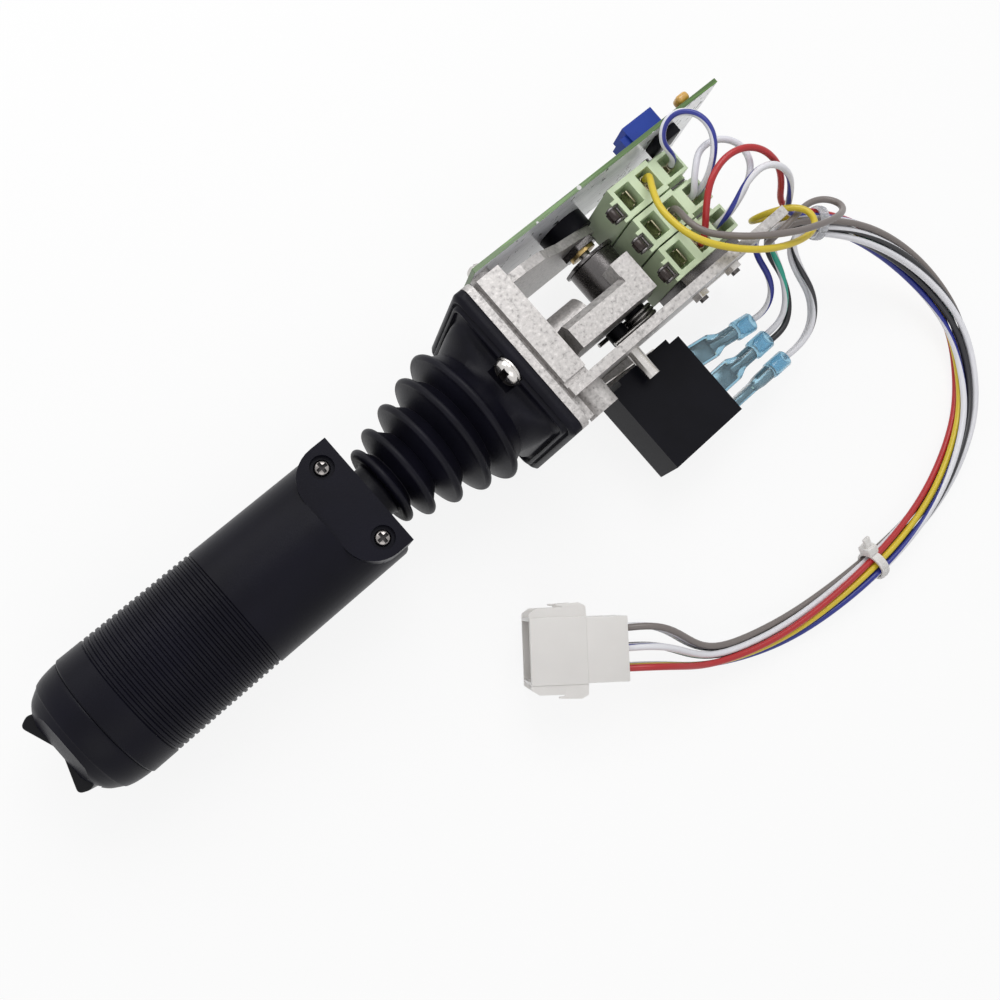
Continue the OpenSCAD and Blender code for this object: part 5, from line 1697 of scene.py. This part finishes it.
@dataclass
class Connector:
    """The milky nine-way connector with its ears, its silos and its contacts; local X runs out of its wire end.

    The ear's outline is distance along X and height above the shell's side.
    """

    harness: Harness
    half: float = 10.5
    length: float = 31
    rear: float = 13
    wall: float = 1.1
    mouth: float = 11
    neck_in: float = 0.35
    ear_t: float = 1.2
    ear_in: float = 0.45
    ear: tuple[Pair, ...] = ((-31, -1), (-31, 1.2), (-28.6, 2.8), (-20.6, 2.9), (-20.6, 3.3), (-22.4, 3.5),
                             (-22.4, 4.0), (-15.4, 4.3), (-13.2, 3.2), (-13.0, -1))
    latch: Point = (-24.6, -14.2, 3)
    wire_hole: tuple[Pair, ...] = ((-2.4, 0), (-2.4, 2.3), (1, 2.3), (1, 0))
    silo: Point = (2.5, 2.2, 0.3)
    silo_depth: float = 8.5
    pin: tuple[Pair, ...] = ((-29, 0), (-29, 0.35), (-28.2, 0.9), (-27, 1.0), (-13, 1.0), (-13, 0))

    def ways(self) -> list[Pair]:
        """Gives the nine ways' places across the connector."""
        steps = (-1, 0, 1)
        return [(a * self.harness.plug_pitch, b * self.harness.plug_pitch) for a in steps for b in steps]

    def body(self) -> bpy.types.Object:
        """Makes the shell.

        Returns:
            The connector's body.
        """
        h, place = self.half, self.harness.plug_matrix()
        shell = Shape()
        shell.block((-self.length, -h, -h), (-self.rear, h, h), 0.45, 3, place)
        neck = h - self.neck_in
        shell.block((-self.rear - 1, -neck, -neck), (0, neck, neck), 0.35, 2, place)
        start, end, wide = self.latch
        for side in SIDES:
            outline = softened([(x, side * (h + up)) for x, up in self.ear], 0.9, 3)
            for level in SIDES:
                low, high = sorted((level * (h - self.ear_t - self.ear_in), level * (h - self.ear_in)))
                shell.prism(Axis.Z, outline, low, high, 0.2, 2, place)
            low, high = side * (h - 0.4) - 0.4, side * (h + 0.4) + 0.4
            shell.block((start, low, -wide), (end, high, wide), 0.3, 2, place)
        cavity = Shape()
        inner = h - self.wall
        floor = -self.length + self.mouth
        cavity.block((-self.length - 1, -inner, -inner), (floor, inner, inner), 0, place=place)
        for y, z in self.ways():
            cavity.turned(Axis.X, list(self.wire_hole), (0, y, z), 28, place)
        return carved(shell.made("plug_shell"), cavity, overlapping=True)

    def silos(self) -> bpy.types.Object:
        """Makes the nine square silos inside the shroud.

        Returns:
            The silos, not yet dressed.
        """
        shape, place = Shape(), self.harness.plug_matrix()
        base = -self.length + self.mouth
        wide, away, thin = self.silo
        start, end = base - self.silo_depth, base + 0.4
        for y, z in self.ways():
            for side in SIDES:
                v, u = z + side * away, y + side * away
                shape.block((start, y - wide, v - thin), (end, y + wide, v + thin), 0.12, 1, place)
                shape.block((start, u - thin, z - wide), (end, u + thin, z + wide), 0.12, 1, place)
        return shape.made("plug_silos")

    def contacts(self) -> bpy.types.Object:
        """Makes the nine pins.

        Returns:
            The pins, not yet dressed.
        """
        shape, place = Shape(), self.harness.plug_matrix()
        for y, z in self.ways():
            shape.turned(Axis.X, list(self.pin), (0, y, z), 20, place)
        return shape.made("plug_pins")

    def build(self) -> list[bpy.types.Object]:
        """Makes the connector.

        Returns:
            Its pieces, which travel with the wires.
        """
        shell = finished(self.body(), Look.NYLON, Body.FRAME, "connector")
        silos = finished(self.silos(), Look.NYLON, Body.FRAME)
        pins = finished(self.contacts(), Look.BLADE, Body.FRAME, "plug_contacts")
        LOG.info("made the connector")
        return [shell, silos, pins]


@dataclass
class Ties:
    """The clear and the white cable tie round the harness."""

    harness: Harness
    inner: float = 4.75
    band: float = 0.9
    width: float = 3.2
    teeth: int = 24
    teeth_from: float = 60
    tooth_pitch: float = 10
    tooth: Point = (0.6, 0.22, 0.16)
    head: Point = (0.6, 2.5, 3.0)
    tail: Point = (0.25, 1.15, 6.6)

    def tie(self, name: str, index: int, past: float, roll: float, finish: Finish) -> None:
        """Makes one tie.

        Args:
            name: The piece's name.
            index: The harness point that it sits at.
            past: How far beyond the point it lies, along the harness.
            roll: Which way its head looks, in degrees.
            finish: What it is made of.
        """
        spots = [Vector(p) for p in self.harness.route]
        ahead = (spots[index + 1] - spots[index - 1]).normalized()
        middle = spots[index] + past * (spots[index + 1] - spots[index]).normalized()
        turn = Euler((0, -math.asin(ahead.z), math.atan2(ahead.y, ahead.x)), "XYZ").to_matrix().to_4x4()
        place = Matrix.Translation(middle) @ turn @ Matrix.Rotation(math.radians(roll), 4, "X")
        r, out, w = self.inner, self.inner + self.band, self.width / 2
        shape = Shape()
        shape.turned(Axis.X, [(-w, r), (-w, out - 0.2), (-w + 0.2, out), (w - 0.2, out), (w, out - 0.2),
                              (w, r)], steps=72, place=place)
        share, half, high = self.tooth
        for k in range(self.teeth):
            bend = math.radians(self.teeth_from + self.tooth_pitch * k)
            at = place @ Matrix.Rotation(bend, 4, "X")
            shape.block((-w * share, -half, out - 0.1), (w * share, half, out + high), 0.06, 1, at)
        wider, half, high = self.head
        shape.block((-w - wider, -half, out - 0.5), (w + wider, half, out + high), 0.5, 3, place)
        short, thick, long = self.tail
        shape.block((-w + short, 0, out), (w - short, thick, out + long), 0.25, 2, place)
        finished(shape.made(name), finish, Body.FRAME, "cable_ties")

    def build(self) -> None:
        """Makes both ties."""
        self.tie("tie_clear_band", 1, 2.6, 200, Look.CLEAR)
        self.tie("tie_white_band", 10, 0, 60, Look.NYLON)
        LOG.info("made the cable ties")


@dataclass
class BoardParts:
    """The dipped capacitor, the chip and the header on the circuit board."""

    outer_y: float = -29.4
    inner_y: float = -27.8
    cap_x: Pair = (-103.1, -98.5)
    cap_y: Pair = (-3.8, -0.7)
    cap_z: Pair = (18.8, 23.4)
    lead_x: Pair = (-101.9, -99.7)
    lead_y: Point = (-2.5, -0.6, 0.1)
    lead_z: float = 21
    lead_r: float = 0.3
    chip_x: Pair = (-105.4, -99.4)
    chip_y: Pair = (-2.4, -0.4)
    chip_z: Pair = (-2, 4)
    leg_y: Pair = (-1.3, -1.0)
    leg_z: float = -1.2
    leg_pitch: float = 1.45
    leg_w: float = 0.5
    leg_reach: float = 0.9
    foot_reach: float = 0.75
    foot_half: float = 0.12
    header_x: Pair = (-93.6, -84.6)
    header_y: Pair = (0.05, 3.7)
    header_z: Pair = (12, 21)
    pin_x: float = -92.4
    pin_z: float = 16.2
    pin_pitch: float = 3
    pin_w: float = 0.6

    @staticmethod
    def corners(face: float, x: Pair, y: Pair, z: Pair) -> tuple[Point, Point]:
        """Gives a block's low and high corners, with its Y measured from one of the board's faces."""
        return (x[0], face + y[0], z[0]), (x[1], face + y[1], z[1])

    def capacitor(self) -> None:
        """Makes the amber capacitor with its two leads."""
        shape = Shape()
        shape.block(*self.corners(self.outer_y, self.cap_x, self.cap_y, self.cap_z), 1.2, 5)
        for x in self.lead_x:
            shape.rod([Vector((x, self.outer_y + away, self.lead_z)) for away in self.lead_y], self.lead_r)
        finished(shape.made("capacitor"), Look.AMBER, Body.FRAME, "board_parts")

    def chips(self) -> None:
        """Makes the chip with its legs and the header with its pins."""
        case, legs, y = Shape(), Shape(), self.outer_y
        case.block(*self.corners(y, self.chip_x, self.chip_y, self.chip_z), 0.25, 2)
        case.block(*self.corners(self.inner_y, self.header_x, self.header_y, self.header_z), 0.3, 2)
        low, high = (y + away for away in self.leg_y)
        for k in range(4):
            z = self.leg_z + self.leg_pitch * k
            for side, x in zip(SIDES, self.chip_x):
                near, far = sorted((x, x + side * self.leg_reach))
                foot = x + side * self.foot_reach
                legs.block((near, low, z), (far, high, z + self.leg_w), 0.06, 1)
                legs.block((foot - self.foot_half, low, z), (foot + self.foot_half, y, z + self.leg_w), 0.05, 1)
        for k in range(3):
            x = self.pin_x + self.pin_pitch * k
            legs.block((x, y - 1.2, self.pin_z), (x + self.pin_w, y + 0.1, self.pin_z + self.pin_w), 0.1, 1)
        finished(case.made("board_cases"), Look.PLASTIC, Body.FRAME)
        finished(legs.made("board_legs"), Look.ZINC, Body.FRAME)

    def build(self) -> None:
        """Makes every part on the board."""
        self.capacitor()
        self.chips()
        LOG.info("made the board's parts")


@dataclass
class CentringSpring:
    """The torsion spring between the arm and the rail."""

    pivot_x: float = -49.9
    y0: float = 10.1
    radius: float = 5
    wire: float = 1.5
    turns: float = 2.5
    turn_steps: int = 28
    rise: float = 1.44
    leg: float = 15
    leg_steps: int = 6

    def build(self) -> None:
        """Makes the coil with its two legs."""
        spots = []
        x, y, legs, count = self.pivot_x, self.y0, self.leg_steps, int(self.turns * self.turn_steps)
        for k in range(count + 1):
            turn = -math.pi / 2 - math.tau * self.turns * k / count
            spots.append(Vector((x + self.radius * math.cos(turn), y + self.rise * self.turns * k / count,
                                 self.radius * math.sin(turn))))
        first = [Vector((x + self.leg * (1 - k / legs), y, -self.radius)) for k in range(legs)]
        last = [Vector((x + self.leg * k / legs, spots[-1].y, spots[-1].z)) for k in range(1, legs + 1)]
        shape = Shape()
        shape.rod(first + spots + last, self.wire / 2, 14)
        finished(shape.made("spring_coil", 50.0), Look.STEEL, Body.FRAME, "centring_spring")
        LOG.info("made the centring spring")


@dataclass
class Plain:
    """The CAD nodes that keep their shape, each with its finish and edge radius in millimetres."""

    nodes: dict[str, tuple[Finish, float]] = field(default_factory=lambda: {
        "casting": (Look.CAST, 0.5), "flange_washers": (Look.ZINC, 0.1), "circuit_board": (Look.BOARD, 0.1),
        "trimmer": (Look.TRIMMER, 0.2), "trimmer_screw": (Look.BRASS, 0.1), "sensor": (Look.PLASTIC, 0.3),
        "sensor_bush": (Look.BRASS, 0.1), "sensor_nut": (Look.DARK, 0.2), "rail_bush": (Look.STEEL, 0.1),
        "centring_post": (Look.ZINC, 0.3), "post_sleeve": (Look.PLASTIC, 0.2), "lever_rod": (Look.STEEL, 0.2),
        "arm": (Look.CAST, 0.5), "hub": (Look.DARK, 0.4), "hub_plate": (Look.DARK, 0.2),
        "pivot_shaft": (Look.STEEL, 0.2), "pivot_spacer": (Look.PLASTIC, 0.2), "grip": (Look.GRIP, 0.25),
        "grip_core": (Look.STEEL, 0), "rocker_pin": (Look.STEEL, 0), "thumb_switch": (Look.PLASTIC, 0),
        "switch_housing_1": (Look.SWITCH, 0.3), "switch_housing_2": (Look.SWITCH, 0.3),
        "switch_housing_3": (Look.SWITCH, 0.3), "switch_strips": (Look.DARK, 0.1),
        "switch_screws": (Look.DARK, 0.1), "switch_nuts": (Look.ZINC, 0.2), "limit_switch": (Look.PLASTIC, 0.4),
        "limit_pin": (Look.STEEL, 0), "limit_leaf": (Look.ZINC, 0.1), "limit_screws": (Look.ZINC, 0.1),
        "limit_blades": (Look.BLADE, 0.1)})

    def build(self) -> None:
        """Dresses every node of the list."""
        for node, (finish, radius) in self.nodes.items():
            dress_node(node, finish, radius)


def main() -> None:
    """Builds the studio, the cords and then every sub-assembly."""
    logging.basicConfig(level=logging.INFO, format="%(name)s: %(message)s")
    Studio().build()
    Harness().build()
    Boot().build()
    Fasteners().build()
    GripEnd().build()
    CamSwitches().build()
    Terminals().build()
    BoardParts().build()
    CentringSpring().build()
    Plain().build()


if __name__ == "__main__":
    main()
